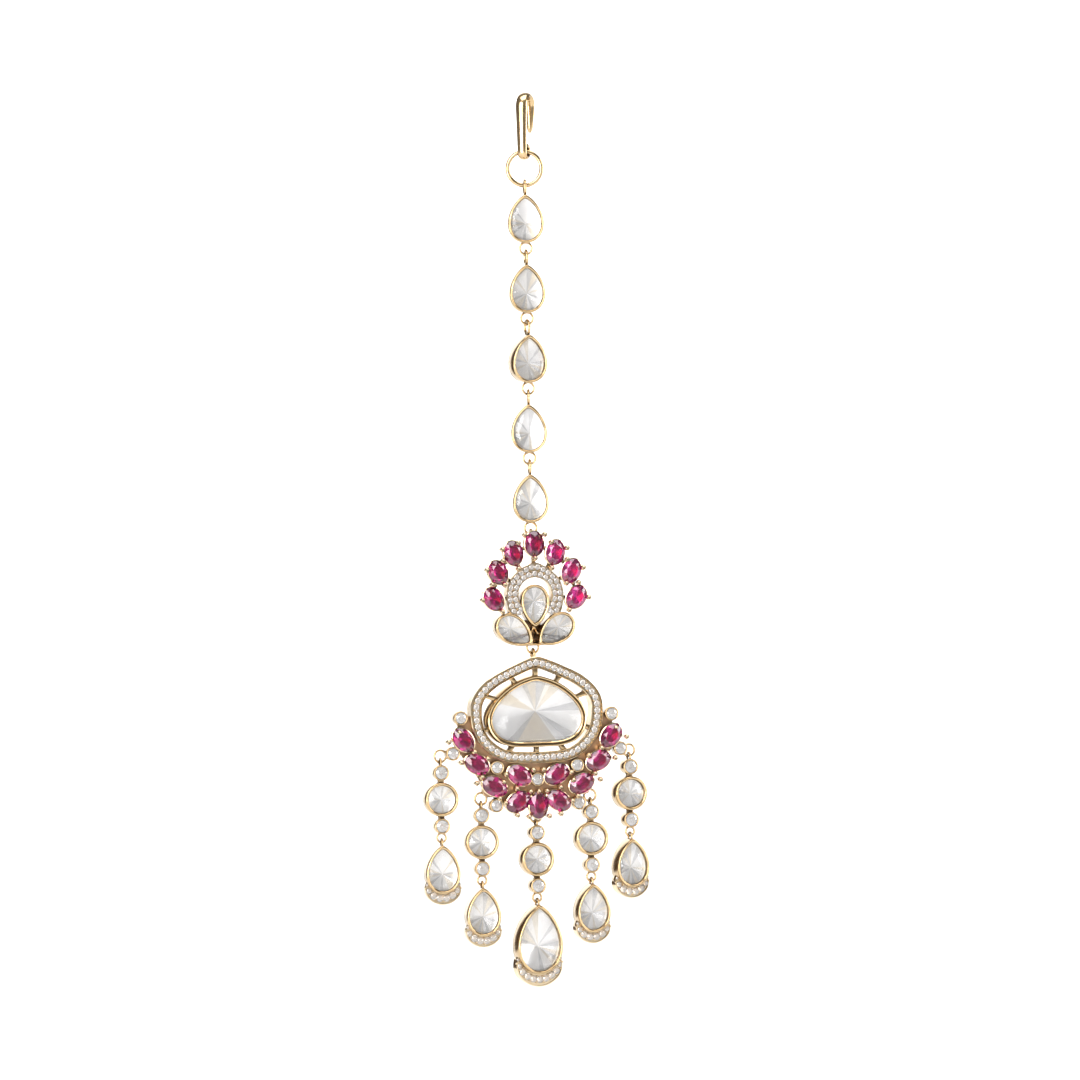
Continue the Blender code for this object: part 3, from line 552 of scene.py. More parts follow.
def bezel(target, shape, back, front, wall, floor):
    """A closed-back bezel cup with a bright foil under its stone."""
    bm = bmesh.new()
    solid(bm, shape, rolled_rows(back, front, wall, floor))
    line_with_foil(bm, front)
    stamp(target, bm)


def line_with_foil(bm, front):
    """Bright foil on a cup's floor and on its inner wall under the stone's edge."""
    bmesh.ops.recalc_face_normals(bm, faces=bm.faces)
    points = [v.co.xy for v in bm.verts]
    middle = sum(points, Vector((0, 0))) / len(points)
    for face in bm.faces:
        spot = face.calc_center_median()
        upright_face = abs(face.normal.z) < 0.5
        inward = face.normal.z > 0.5 or upright_face and face.normal.xy.dot(middle - spot.xy) > 0
        if inward and spot.z < front - RIM_DEPTH + 1e-6:
            face.material_index = FOIL


def wire_ring(target, radius, wire, matrix, steps=RING_STEPS):
    """A soldered round ring, spun from the round section of its wire."""
    bm = bmesh.new()
    start = Matrix.Translation((radius - wire / 2, 0, 0)) @ Matrix.Rotation(pi / 2, 4, "X")
    section = bmesh.ops.create_circle(bm, segments=WIRE_SIDES, radius=wire / 2, matrix=start)
    bmesh.ops.spin(bm, geom=section["verts"] + bm.edges[:], cent=(0, 0, 0), axis=(0, 0, 1),
                   angle=2 * pi, steps=steps, use_merge=True)
    bmesh.ops.recalc_face_normals(bm, faces=bm.faces)
    stamp(target, bm, matrix)


def flat_ring(target, radius, wire, x, y, edge_on=False):
    """A ring at a place in a flat frame, facing the front or edge on."""
    quarter = pi / 2 if edge_on else 0.0
    matrix = Matrix.Translation((x, y, 0)) @ Matrix.Rotation(quarter, 4, "Y")
    wire_ring(target, radius, wire, matrix)


def bead(target, x, y, foot, top, radius, finish=BEAD):
    """A prong: a short round post with a ball for its head."""
    bm = bmesh.new()
    rows = [(0.62, foot), (0.62, top - radius * 1.75), (0.90, top - radius * 1.35),
            (1.00, top - radius * 0.85), (0.88, top - radius * 0.38), (0.55, top - radius * 0.06),
            (0.30, top - radius * 0.10)]
    shape = moved(oval(0.0, 0.0, 10), x, y)
    solid(bm, shape, [(radius * share, height) for share, height in rows])
    stamp(target, bm, finish=finish)


def bar(target, x, y, turn, width, low, high, back, front, finish=GOLD):
    """A straight bar with softened edges, upright before its turn about x and y."""
    bm = bmesh.new()
    size = Matrix.Diagonal((width, high - low, front - back, 1.0))
    middle = Matrix.Translation((0, (low + high) / 2, (front + back) / 2))
    spot = Matrix.Translation((x, y, 0)) @ Matrix.Rotation(radians(turn), 4, "Z")
    bmesh.ops.create_cube(bm, size=1.0, matrix=spot @ middle @ size)
    bmesh.ops.bevel(bm, geom=bm.edges, offset=width * 0.18, segments=2, affect="EDGES",
                    profile=0.5, material=-1)
    stamp(target, bm, finish=finish)


def stamp(target, bm, matrix=Matrix(), finish=None):
    """Adds a small mesh to a piece, with its place and finish, and frees it."""
    bmesh.ops.recalc_face_normals(bm, faces=bm.faces)
    bmesh.ops.transform(bm, matrix=matrix, verts=bm.verts)
    if finish is not None:
        for face in bm.faces:
            face.material_index = finish
    mesh = bpy.data.meshes.new("stamp")
    bm.to_mesh(mesh)
    bm.free()
    target.from_mesh(mesh)
    bpy.data.meshes.remove(mesh)


def cut_stone(target, shape, centre, top, cut, table=0.56, sides=8, band=0.12 * MM, painted_from=None):
    """A faceted stone: table, star and main facets, girdle, pavilion facets and culet.

    The cut says how deep the girdle lies under the top, how high the crown stands over it and how
    deep the pavilion goes. With painted_from set, the lower facets run straight from the girdle to the
    culet and carry painted shade and painted gold reflection; the number says where that row starts.
    """
    drop, crown, pavilion = cut
    girdle = top - drop
    bm = bmesh.new()
    outline = shape(0.0)
    step = len(outline) // sides
    half = step // 2

    def level(share, height, start, every):
        for point in outline[start::every]:
            spot = centre + (point - centre) * share
            bm.verts.new((spot.x, spot.y, height))

    level(table, girdle + crown, 0, step)
    level((1 + table) / 2 + 0.05, girdle + crown * 0.52, half, step)
    for side in (1, -1):
        level(1.0, girdle + side * band / 2, 0, max(half // 2, 1))
    if painted_from is None:
        level(0.52, girdle - pavilion * 0.56, half, step)
    bm.verts.new((centre.x, centre.y, girdle - pavilion))
    hull = bmesh.ops.convex_hull(bm, input=bm.verts)
    spare = [v for v in hull["geom_interior"] if isinstance(v, bmesh.types.BMVert)]
    bmesh.ops.delete(bm, geom=spare, context="VERTS")
    bmesh.ops.dissolve_limit(bm, angle_limit=radians(1.0), verts=bm.verts, edges=bm.edges)
    bmesh.ops.recalc_face_normals(bm, faces=bm.faces)
    # The lower facets take painted shade or painted gold reflection.
    lower = [face for face in bm.faces if painted_from is not None and face.normal.z < -0.1]
    for face in lower:
        side = face.calc_center_median().xy - centre
        turn = Vector((1, 0)).angle_signed(side) % (2 * pi)
        count = len(FACET_PAINTED_LIGHT)
        face.material_index = FACET_PAINTED_LIGHT[(int(count * turn / (2 * pi)) + painted_from) % count]
    stamp(target, bm)


def place(name, bm, matrix, body, slot, finishes, *nodes):
    """Stands a flat piece up in the part and lets it take the place of its nodes."""
    bmesh.ops.transform(bm, matrix=matrix, verts=bm.verts)
    mesh = bpy.data.meshes.new(name)
    bm.to_mesh(mesh)
    bm.free()
    for finish in finishes:
        mesh.materials.append(finish)
    if slot == "gold":
        mesh.shade_smooth()
        mesh.set_sharp_from_angle(angle=radians(SHARP_ANGLE))
    piece = bpy.data.objects.new(name, mesh)
    bpy.context.scene.collection.objects.link(piece)
    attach(piece, body)
    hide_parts(*nodes)
    return piece


def set_stone(name, seat, centre, top, cut, painted_from, stand, body, node, table=0.56, sides=8):
    """A white stone, cut to its seat and put in it."""
    bm = bmesh.new()
    cut_stone(bm, seat, centre, top, cut, table=table, sides=sides, painted_from=painted_from)
    place(name, bm, stand, body, "white_stone", STONES, node)


# Flat frames

def upright(spot, twist):
    """The flat frame at a place in the world, turned about the vertical."""
    stand = Matrix.Rotation(pi / 2, 4, "X")
    return Matrix.Translation(spot) @ Matrix.Rotation(radians(twist), 4, "Z") @ stand


def hung(x, y, twist):
    """A flat frame inside another, turned about the vertical."""
    return Matrix.Translation((x, y, 0)) @ Matrix.Rotation(radians(twist), 4, "Y")


def loop_centre(carrier_wire, radius, wire):
    """How high the centre of a loop lies over the wire that carries it."""
    return carrier_wire / 2 + HANG_GAP - (radius - wire)


# Materials

def link(tree, out_node, out_name, in_node, in_name):
    tree.links.new(out_node.outputs[out_name], in_node.inputs[in_name])


def new_group(name, takes, gives):
    """A shader node group with named values. Returns it with its input and output nodes."""
    group = bpy.data.node_groups.new(name, "ShaderNodeTree")
    for side, sockets in (("INPUT", takes), ("OUTPUT", gives)):
        for socket in sockets:
            group.interface.new_socket(socket, in_out=side, socket_type="NodeSocketFloat")
    return group, group.nodes.new("NodeGroupInput"), group.nodes.new("NodeGroupOutput")


def map_range(tree, node, socket, to_min, to_max, from_min=0.0, from_max=1.0):
    """Another node's value, mapped to a range."""
    ranged = tree.nodes.new("ShaderNodeMapRange")
    ranged.inputs["From Min"].default_value = from_min
    ranged.inputs["From Max"].default_value = from_max
    ranged.inputs["To Min"].default_value = to_min
    ranged.inputs["To Max"].default_value = to_max
    link(tree, node, socket, ranged, "Value")
    return ranged


def multiply(tree, node, socket):
    """Another node's value times the second input of the node that comes back."""
    product = tree.nodes.new("ShaderNodeMath")
    product.operation = "MULTIPLY"
    link(tree, node, socket, product, 0)
    return product


def make_tone_group():
    """Slow drifts of tone and fine polish marks over a surface."""
    group, take, give = new_group("tone", ["Scale"], ["Drift", "Marks"])
    where = group.nodes.new("ShaderNodeTexCoord")
    drift = group.nodes.new("ShaderNodeTexNoise")
    drift.inputs["Detail"].default_value = 2.0
    finer = multiply(group, take, "Scale")
    finer.inputs[1].default_value = 9.0
    marks = group.nodes.new("ShaderNodeTexNoise")
    marks.inputs["Detail"].default_value = 5.0
    for noise in (drift, marks):
        link(group, where, "Object", noise, "Vector")
    link(group, take, "Scale", drift, "Scale")
    link(group, finer, "Value", marks, "Scale")
    link(group, drift, "Fac", give, "Drift")
    link(group, marks, "Fac", give, "Marks")
    return group


def make_painted_shade_group():
    """A mask for painted shade: high where a surface is shut in by others."""
    group, take, give = new_group("painted_shade_mask", ["Depth"], ["Mask"])
    shut = group.nodes.new("ShaderNodeAmbientOcclusion")
    shut.samples = 6
    shut.inputs["Distance"].default_value = 0.8 * MM
    curve = map_range(group, shut, "AO", 0.0, 1.0, 0.85, 0.20)
    mask = multiply(group, curve, "Result")
    link(group, take, "Depth", mask, 1)
    link(group, mask, "Value", give, "Mask")
    return group


TONE = make_tone_group()
PAINTED_SHADE_GROUP = make_painted_shade_group()


def new_material(name):
    """A material with its nodes and its shader."""
    material = bpy.data.materials.new(name)
    material.use_nodes = True
    return material, material.node_tree, material.node_tree.nodes["Principled BSDF"]


def new_finish(name, scale, pale, deep):
    """A material with the tone group, and the drift between its two colours."""
    finish, tree, shader = new_material(name)
    tone = tree.nodes.new("ShaderNodeGroup")
    tone.node_tree = TONE
    tone.inputs["Scale"].default_value = scale
    return finish, tree, shader, tone, blend_colours(tree, tone, "Drift", pale, deep)


def blend_colours(tree, fac_node, fac_name, first, second):
    """A mix of two colours. Each is a tuple or a node with a Result socket."""
    mix = tree.nodes.new("ShaderNodeMix")
    mix.data_type = "RGBA"
    link(tree, fac_node, fac_name, mix, 0)
    for socket, colour in ((6, first), (7, second)):
        if isinstance(colour, tuple):
            mix.inputs[socket].default_value = (*colour, 1.0)
        else:
            tree.links.new(colour.outputs[2], mix.inputs[socket])
    return mix


def make_metal(name, pale, deep, painted_shade, rough, depth):
    """Plated metal: tone drift, dark painted shade in the crevices, fine polish marks."""
    finish, tree, shader, tone, colour = new_finish(name, METAL_SCALE, pale, deep)
    painted_shade_mask = tree.nodes.new("ShaderNodeGroup")
    painted_shade_mask.node_tree = PAINTED_SHADE_GROUP
    painted_shade_mask.inputs["Depth"].default_value = depth
    # Painted shade: the third colour darkens the spots that other surfaces shut in.
    colour = blend_colours(tree, painted_shade_mask, "Mask", colour, painted_shade)
    tree.links.new(colour.outputs[2], shader.inputs["Base Color"])
    polish = map_range(tree, tone, "Marks", rough * 0.6, rough * 1.5)
    link(tree, polish, "Result", shader, "Roughness")
    bump = tree.nodes.new("ShaderNodeBump")
    bump.inputs["Strength"].default_value = 0.06
    bump.inputs["Distance"].default_value = 0.02 * MM
    link(tree, tone, "Marks", bump, "Height")
    link(tree, bump, "Normal", shader, "Normal")
    shader.inputs["Metallic"].default_value = 1.0
    return finish


def make_gem_finish(name, clear, tinted, ior, clarity):
    """A cut stone with faint clouds in its colour. Below a clarity of 1 it is a little milky."""
    finish, tree, shader, tone, colour = new_finish(name, GEM_SCALE, clear, tinted)
    tree.links.new(colour.outputs[2], shader.inputs["Base Color"])
    polish = map_range(tree, tone, "Marks", 0.0, 0.03)
    link(tree, polish, "Result", shader, "Roughness")
    shader.inputs["IOR"].default_value = ior
    shader.inputs["Transmission Weight"].default_value = clarity
    return finish


# The third colour of each metal is painted shade, laid where other surfaces shut a spot in.
gold = make_metal("gold_plate", (0.61, 0.45, 0.26), (0.47, 0.33, 0.17), (0.06, 0.025, 0.010), 0.17, 0.95)
# A darker copy of the gold for recessed plates, floors and the web: painted shade.
shade = make_metal("painted_shade_gold", (0.46, 0.30, 0.19), (0.34, 0.21, 0.13), (0.20, 0.12, 0.075), 0.40, 0.6)
foil = make_metal("seat_foil", (0.97, 0.96, 0.94), (0.88, 0.86, 0.82), (0.75, 0.70, 0.62), 0.35, 0.1)
beads = make_metal("bead_gold", (0.80, 0.66, 0.45), (0.68, 0.53, 0.33), (0.20, 0.11, 0.05), 0.14, 0.6)
METALS = (gold, shade, foil, beads)
ruby = make_gem_finish("ruby", (0.50, 0.012, 0.17), (0.34, 0.006, 0.11), 1.77, 0.92)
# A paler ruby for the crest's right side: painted light.
painted_light_ruby = make_gem_finish("ruby_painted_light", (0.70, 0.05, 0.32), (0.50, 0.02, 0.22), 1.77, 0.9)
white = make_gem_finish("white_stone", (0.985, 0.985, 0.99), (0.94, 0.94, 0.955), 1.5, 0.9)
# Grey and beige copies of the white stone: painted shade and painted gold reflection for its lower
# facets.
painted_shade_stone = make_gem_finish("white_stone_painted_shade", (0.58, 0.58, 0.60), (0.46, 0.46, 0.48), 1.5, 0.9)
gold_reflection_stone = make_gem_finish("white_stone_painted_gold_reflection", (0.84, 0.75, 0.60), (0.70, 0.59, 0.43), 1.5, 0.9)
STONES = (white, painted_shade_stone, gold_reflection_stone)
pave = make_gem_finish("pave_stone", (0.97, 0.965, 0.96), (0.90, 0.88, 0.86), 1.7, 0.75)


# Hook and ring

def make_hook():
    """A flattened hook: pointed back leg, crook, front band and curled eye."""
    centre_radius = HOOK_INNER_RADIUS + HOOK_THICK / 2
    eye_y = HOOK_EYE_RADIUS - centre_radius
    rows = []
    for i in range(HOOK_LEG_STEPS + 1):
        share = i / HOOK_LEG_STEPS
        low = -HOOK_TIP_DROP + share * (HOOK_TIP_DROP - HOOK_INNER_RADIUS)
        rows.append((centre_radius, low, HOOK_POINT + (1 - HOOK_POINT) * sqrt(share)))
    for i in range(1, HOOK_CROOK_STEPS):
        t = pi * i / HOOK_CROOK_STEPS
        rows.append((centre_radius * cos(t), centre_radius * sin(t) - HOOK_INNER_RADIUS, 1.0))
    for i in range(HOOK_LEG_STEPS):
        share = i / HOOK_LEG_STEPS
        low = -HOOK_INNER_RADIUS - share * (HOOK_EYE_DROP - HOOK_INNER_RADIUS)
        rows.append((-centre_radius, low, 1.0 - (1 - HOOK_EYE_SHARE) * share))
    for i in range(HOOK_EYE_STEPS + 1):
        t = pi + HOOK_EYE_TURN * pi * i / HOOK_EYE_STEPS
        rows.append((eye_y + HOOK_EYE_RADIUS * cos(t), HOOK_EYE_RADIUS * sin(t) - HOOK_EYE_DROP,
                     HOOK_EYE_SHARE))
    path = bpy.data.curves.new("hook_path", "CURVE")
    path.dimensions = "3D"
    path.bevel_depth = HOOK_THICK / 2
    path.bevel_resolution = 5
    path.use_fill_caps = True
    spline = path.splines.new("POLY")
    spline.points.add(len(rows) - 1)
    for point, (y, z, share) in zip(spline.points, rows):
        point.co = (0.0, y, z, 1.0)
        point.radius = share
    guide = bpy.data.objects.new("hook_path", path)
    bpy.context.scene.collection.objects.link(guide)
    mesh = bpy.data.meshes.new_from_object(guide.evaluated_get(bpy.context.evaluated_depsgraph_get()))
    bpy.data.objects.remove(guide)
    bm = bmesh.new()
    bm.from_mesh(mesh)
    bmesh.ops.remove_doubles(bm, verts=bm.verts, dist=1e-7)
    bmesh.ops.recalc_face_normals(bm, faces=bm.faces)
    bmesh.ops.transform(bm, matrix=Matrix.Diagonal((HOOK_WIDTH_SHARE, 1, 1, 1)), verts=bm.verts)
    turn = Matrix.Rotation(radians(HOOK_TWIST), 4, "Z")
    place("hook_band", bm, turn, "chain", "gold", METALS, "hook")
    return turn @ Vector((0, eye_y, 0))


def make_hook_ring(eye):
    eye_inner = HOOK_EYE_RADIUS - HOOK_THICK / 2 * HOOK_EYE_SHARE
    top = HANG_GAP - HOOK_EYE_DROP - eye_inner + HOOK_RING_WIRE
    bm = bmesh.new()
    wire_ring(bm, HOOK_RING_RADIUS, HOOK_RING_WIRE, Matrix(), steps=72)
    stand = upright(eye + Vector((0, 0, top - HOOK_RING_RADIUS)), HOOK_RING_TWIST)
    place("round_ring", bm, stand, "chain", "gold", METALS, "hook_ring")
    return eye + Vector((0, 0, top - 2 * HOOK_RING_RADIUS + HOOK_RING_WIRE / 2))


# Chain

def make_link(number, pivot, carrier_wire):
    """One link of the chain. Returns where the next one hangs."""
    stand = upright(pivot, LINK_TWISTS[number - 1])
    loop_y = loop_centre(carrier_wire, LOOP_RADIUS, LOOP_WIRE)
    tip = loop_y - LOOP_RADIUS + SOLDER
    ring_y = tip - LINK_HEIGHT + SOLDER - RING_RADIUS
    back = -BEZEL_DEPTH / 2
    front = BEZEL_DEPTH / 2
    shape = moved(pear(LINK_WIDTH, LINK_HEIGHT), 0, tip)
    bm = bmesh.new()
    bezel(bm, shape, back, front, BEZEL_WALL, back + BEZEL_FLOOR)
    flat_ring(bm, LOOP_RADIUS, LOOP_WIRE, 0, loop_y, edge_on=True)
    flat_ring(bm, RING_RADIUS, RING_WIRE, 0, ring_y)
    place(f"link_bezel_{number}", bm, stand, "chain", "gold", METALS, f"chain_setting_{number}")
    make_pear_stone(f"link_stone_{number}", shape, tip, LINK_HEIGHT, front, stand, "chain",
                    f"chain_stone_{number}")
    return pivot + Vector((0, 0, ring_y - RING_RADIUS + RING_WIRE / 2))


def make_pear_stone(name, shape, tip, height, front, stand, body, node):
    """A pear stone that lies in its bezel, a little below the rim."""
    seat = larger(shape, -BEZEL_WALL - STONE_GAP / 2)
    centre = Vector((0, tip - height * PEAR_CENTRE_SHARE))
    cut = (*PEAR_CUT, height * PEAR_PAVILION_SHARE)
    painted_from = len(name) + int(name[-1]) * 5
    set_stone(name, seat, centre, front, cut, painted_from, stand, body, node, table=PEAR_TABLE)


# Crest

def ruby_collet(target, width, length, x, y, turn, back):
    """A low oval seat that stays under the stone's edge."""
    shape = moved(oval(width / 2, length / 2), x, y, turn)
    top = back + RUBY_SEAT_DEPTH - 0.12 * MM
    rows = [(0.10 * MM, back), (0.20 * MM, top - 0.25 * MM), (0.16 * MM, top - 0.06 * MM),
            (0.06 * MM, top), (-0.10 * MM, top - 0.1 * MM), (-0.25 * MM, back + 0.25 * MM)]
    bm = bmesh.new()
    solid(bm, shape, rows)
    stamp(target, bm, finish=BEAD)


def make_ruby(name, stand, body, node, width, length, x, y, turn, back, finish=ruby):
    """An oval ruby over its seat."""
    shape = moved(oval(width / 2, length / 2), x, y, turn)
    bm = bmesh.new()
    cut_stone(bm, shape, Vector((x, y)), back + RUBY_SEAT_DEPTH, RUBY_CUT, table=0.60)
    place(name, bm, stand, body, "ruby", [finish], node)


def pave_stone(stones, spot, radius, level, crown, pavilion):
    """A small round stone. Its crown and pavilion are shares of its radius."""
    shape = moved(oval(radius, radius, PAVE_POINTS), *spot)
    cut_stone(stones, shape, spot, level, (0.0, radius * crown, radius * pavilion), table=0.55,
              band=radius * 0.1)


def grain_beads(metal, spots, reach_out, foot, top, radius):
    """Grain beads in pairs, one pair between each place and the next."""
    for a, b in zip(spots, spots[1:]):
        middle = (a + b) / 2
        across = Vector((a.y - b.y, b.x - a.x)).normalized() * reach_out
        for spot in (middle - across, middle + across):
            bead(metal, spot.x, spot.y, foot, top, radius)


def pave_row(metal, stones, spots, radius, level, grain, closed=False):
    """A row of small stones in a sunk strip, with grain beads between them."""
    for spot in spots:
        pave_stone(stones, spot, radius, level, 0.36, 0.75)
    row = spots + spots[:1] if closed else spots
    grain_beads(metal, row, radius * 0.82, level - GRAIN_ROOT, level + grain, grain)


def strip_spots(outer, inner, share, spacing):
    """Evenly spaced places along a strip, at a share of its width from the outer edge."""
    line = [a.lerp(b, share) for a, b in zip(outer, inner)]
    length = sum((b - a).length for a, b in zip(line, line[1:] + line[:1]))
    return even_loop(line, max(3, round(length / spacing)))


def even_line(line, spacing):
    """Evenly spaced places along an open line, half a space in from its ends."""
    lengths = [0.0]
    for a, b in zip(line, line[1:]):
        lengths.append(lengths[-1] + (b - a).length)
    count = round(lengths[-1] / spacing)
    spots = []
    for i in range(count):
        goal = lengths[-1] * (i + 0.5) / count
        at = max(k for k, length in enumerate(lengths[:-1]) if length <= goal)
        share = (goal - lengths[at]) / (lengths[at + 1] - lengths[at])
        spots.append(line[at].lerp(line[at + 1], share))
    return spots


def band_plate(target, outer, inner, back, front, rim, sink):
    """A flat band between two shapes, with a raised rim on each edge and a sunk floor."""
    bm = bmesh.new()
    soft = rim * 0.35
    rows = [(0.0, back), (0.0, front - soft), (-soft, front), (-rim + soft, front),
            (-rim, front - sink)]
    loops = loops_of(outer, rows)
    loops += loops_of(inner, [(-grow, height) for grow, height in rows[::-1]])
    follow(bm, loops + loops[:1])
    bmesh.ops.remove_doubles(bm, verts=bm.verts, dist=1e-7)
    stamp(target, bm, finish=BEAD)


def arc_of(outline, centre, swing, steps, up=1):
    """The outline's places in even directions round a centre, to a swing either side of up.

    With up at -1 the directions lie either side of down.
    """
    spots = []
    for i in range(steps + 1):
        turn = radians(-swing + 2 * swing * i / steps)
        direction = Vector((sin(turn), up * cos(turn)))
        spots.append(centre + direction * reach(outline, centre, direction))
    return spots


def strip(target, outside, inside, back, front, rim, sink):
    """An open band between two arcs of equal count, with a raised rim and a sunk floor."""
    bm = bmesh.new()

    def shape(grow):
        shares = [min(-grow / (a - b).length, 0.35) for a, b in zip(outside, inside)]
        first = [a.lerp(b, share) for a, b, share in zip(outside, inside, shares)]
        second = [b.lerp(a, share) for a, b, share in zip(outside, inside, shares)]
        return first + second[::-1]
    solid(bm, shape, [(-rim / 3, back), (0.0, back + rim / 3), (0.0, front - rim / 3),
                      (-rim / 3, front), (-rim, front), (-rim * 1.1, front - sink)])
    stamp(target, bm, finish=BEAD)


def make_crest(pivot):
    """The lotus crest: pave arch, heart, two leaves and seven rubies."""
    stand = upright(pivot, 0.0)
    front = CREST_BACK + CREST_DEPTH
    middle = -CREST_HANG
    metal = bmesh.new()
    stones = bmesh.new()
    arch = drawn(ARCH_SHAPE, ARCH_WIDTH / 2, ARCH_HEIGHT, middle + ARCH_RISE - ARCH_HEIGHT)(0.0)
    make_arch(metal, stones, arch, middle, front)

    heart_foot = middle + HEART_RISE - HEART_HEIGHT
    tip = middle - LEAF_TIP_DROP
    pears = [((0, heart_foot, 180), HEART_WIDTH, HEART_HEIGHT)]
    for side in (-1, 1):
        pears.append(((side * LEAF_TIP_X, tip, side * (180 - LEAF_TILT)), LEAF_WIDTH, LEAF_HEIGHT))
    for spot, width, height in pears:
        bezel(metal, moved(pear(width, height), *spot), CREST_BACK, front, BEZEL_WALL,
              CREST_BACK + BEZEL_FLOOR)
    base_foot = tip - BASE_MARGIN
    base_back = CREST_BACK + BASE_LIFT
    base = drawn(BASE_SHAPE, BASE_WIDTH / 2, BASE_HEIGHT, base_foot)
    base_rail(metal, larger(base, -BASE_CLEAR), base_back, base_back + BASE_DEPTH)
    # The web between the leaves and the heart is in the darker gold of painted shade.
    bar(metal, 0, 0, 0.0, WEB_WIDTH, tip + WEB_LOW, heart_foot + WEB_HIGH, base_back,
        base_back + BASE_FLOOR, SHADE)

    ruby_back = front - RUBY_SEAT_DEPTH - STONE_GAP
    size = (CREST_RUBY_WIDTH, CREST_RUBY_LENGTH)
    here = Vector((0, middle))
    rubies = [(x, y, -tilt) for x, y, tilt in places(ARCH_RUBIES, ARCH_RUBY_RADIUS, middle, top=True)]
    for x, y, tilt in rubies:
        ruby_collet(metal, *size, x, y, tilt, ruby_back)
        spoke = Vector((x, y)) - here
        near = reach(arch, here, spoke.normalized())
        turn = degrees(Vector((0, 1)).angle_signed(spoke))
        bar(metal, 0, middle, -turn, ARCH_SPOKE_WIDTH, near - ARCH_SPOKE_ROOT,
            spoke.length - ARCH_SPOKE_SHORT, ruby_back, ruby_back + ARCH_SPOKE_DEPTH)
    for first, second in zip(rubies, rubies[1:]):
        join = (Vector(first[:2]) + Vector(second[:2])) / 2
        bead(metal, join.x, join.y, ruby_back, ruby_back + JOIN_RISE, JOIN_RADIUS, GOLD)
    for x, y in places(CREST_PRONGS, ARCH_RUBY_RADIUS, middle, top=True):
        bead(metal, x, y, ruby_back, ruby_back + CREST_PRONG_RISE, PRONG_RADIUS)

    loop_y = loop_centre(RING_WIRE, CREST_LOOP_RADIUS, LOOP_WIRE)
    flat_ring(metal, CREST_LOOP_RADIUS, LOOP_WIRE, 0, loop_y, edge_on=True)
    flat_ring(metal, RING_RADIUS, RING_WIRE, 0, base_foot - CREST_RING_DROP)
    place("crest_metal", metal, stand, "crest", "gold", METALS, "crest_setting")
    place("crest_pave", stones, stand, "crest", "white_stone", [pave], "crest_setting")
    # The rubies on the right side are paler: painted light.
    for number, (x, y, tilt) in enumerate(rubies, 1):
        make_ruby(f"petal_ruby_{number}", stand, "crest", f"crest_ruby_{number}", *size, x, y, tilt,
                  ruby_back, painted_light_ruby if number > PAINTED_LIGHT_AFTER else ruby)
    for number, ((x, y, turn), width, height) in enumerate(pears, 1):
        seat = larger(moved(pear(width, height), x, y, turn), -BEZEL_WALL - STONE_GAP / 2)
        down = Matrix.Rotation(radians(turn), 2) @ Vector((0, -height * PEAR_CENTRE_SHARE))
        set_stone(f"crest_stone_{number}", seat, Vector((x, y)) + down, front, CREST_CUT, number * 7,
                  stand, "crest", f"crest_pear_{number}", table=PEAR_TABLE)


def make_arch(metal, stones, arch, middle, front):
    """The pave arch, open at its foot, with two rows of stones."""
    centre = Vector((0, middle + ARCH_HOLE_RISE))
    hole = moved(oval(ARCH_HOLE_RADIUS, ARCH_HOLE_RADIUS, OUTLINE_POINTS), *centre)(0.0)
    face = front - ARCH_SINK
    outside = arc_of(arch, centre, ARCH_SWING, OUTLINE_POINTS)
    inside = arc_of(hole, centre, ARCH_SWING, OUTLINE_POINTS)
    strip(metal, outside, inside, front - ARCH_DEPTH, face, ARCH_RIM, ARCH_RIM)
    for share in ARCH_ROWS:
        line = [a.lerp(b, share) for a, b in zip(outside, inside)]
        pave_row(metal, stones, even_line(line, ARCH_PAVE_STEP), ARCH_PAVE, face - ARCH_PAVE_SINK,
                 ARCH_GRAIN)


def base_rail(target, shape, back, front):
    """The plate under the leaves, with a rounded rail along its edge. Its floor is darker gold: painted
    shade.
    """
    bm = bmesh.new()
    rows = [(-0.1 * MM, back), (0.0, back + 0.1 * MM), (0.0, front - 0.15 * MM)]
    for share, drop in ((0.2, 0.03), (0.5, -0.03), (0.8, 0.03), (1.0, 0.15)):
        rows.append((-BASE_RAIL * share, front - drop * MM))
    rows.append((-BASE_RAIL, back + BASE_FLOOR))
    solid(bm, shape, rows, SHADE)
    stamp(target, bm)


# Pendant

def melee(metal, stones, radius, x, y, back, front):
    """A small round bezel with its own brilliant."""
    shape = moved(oval(radius, radius), x, y)
    wall = radius * MELEE_WALL_SHARE
    bezel(metal, shape, back, front, wall, front - MELEE_SEAT)
    seat = moved(oval(radius - wall, radius - wall), x, y)
    cut_stone(stones, seat, Vector((x, y)), front, MELEE_CUT, table=0.55)


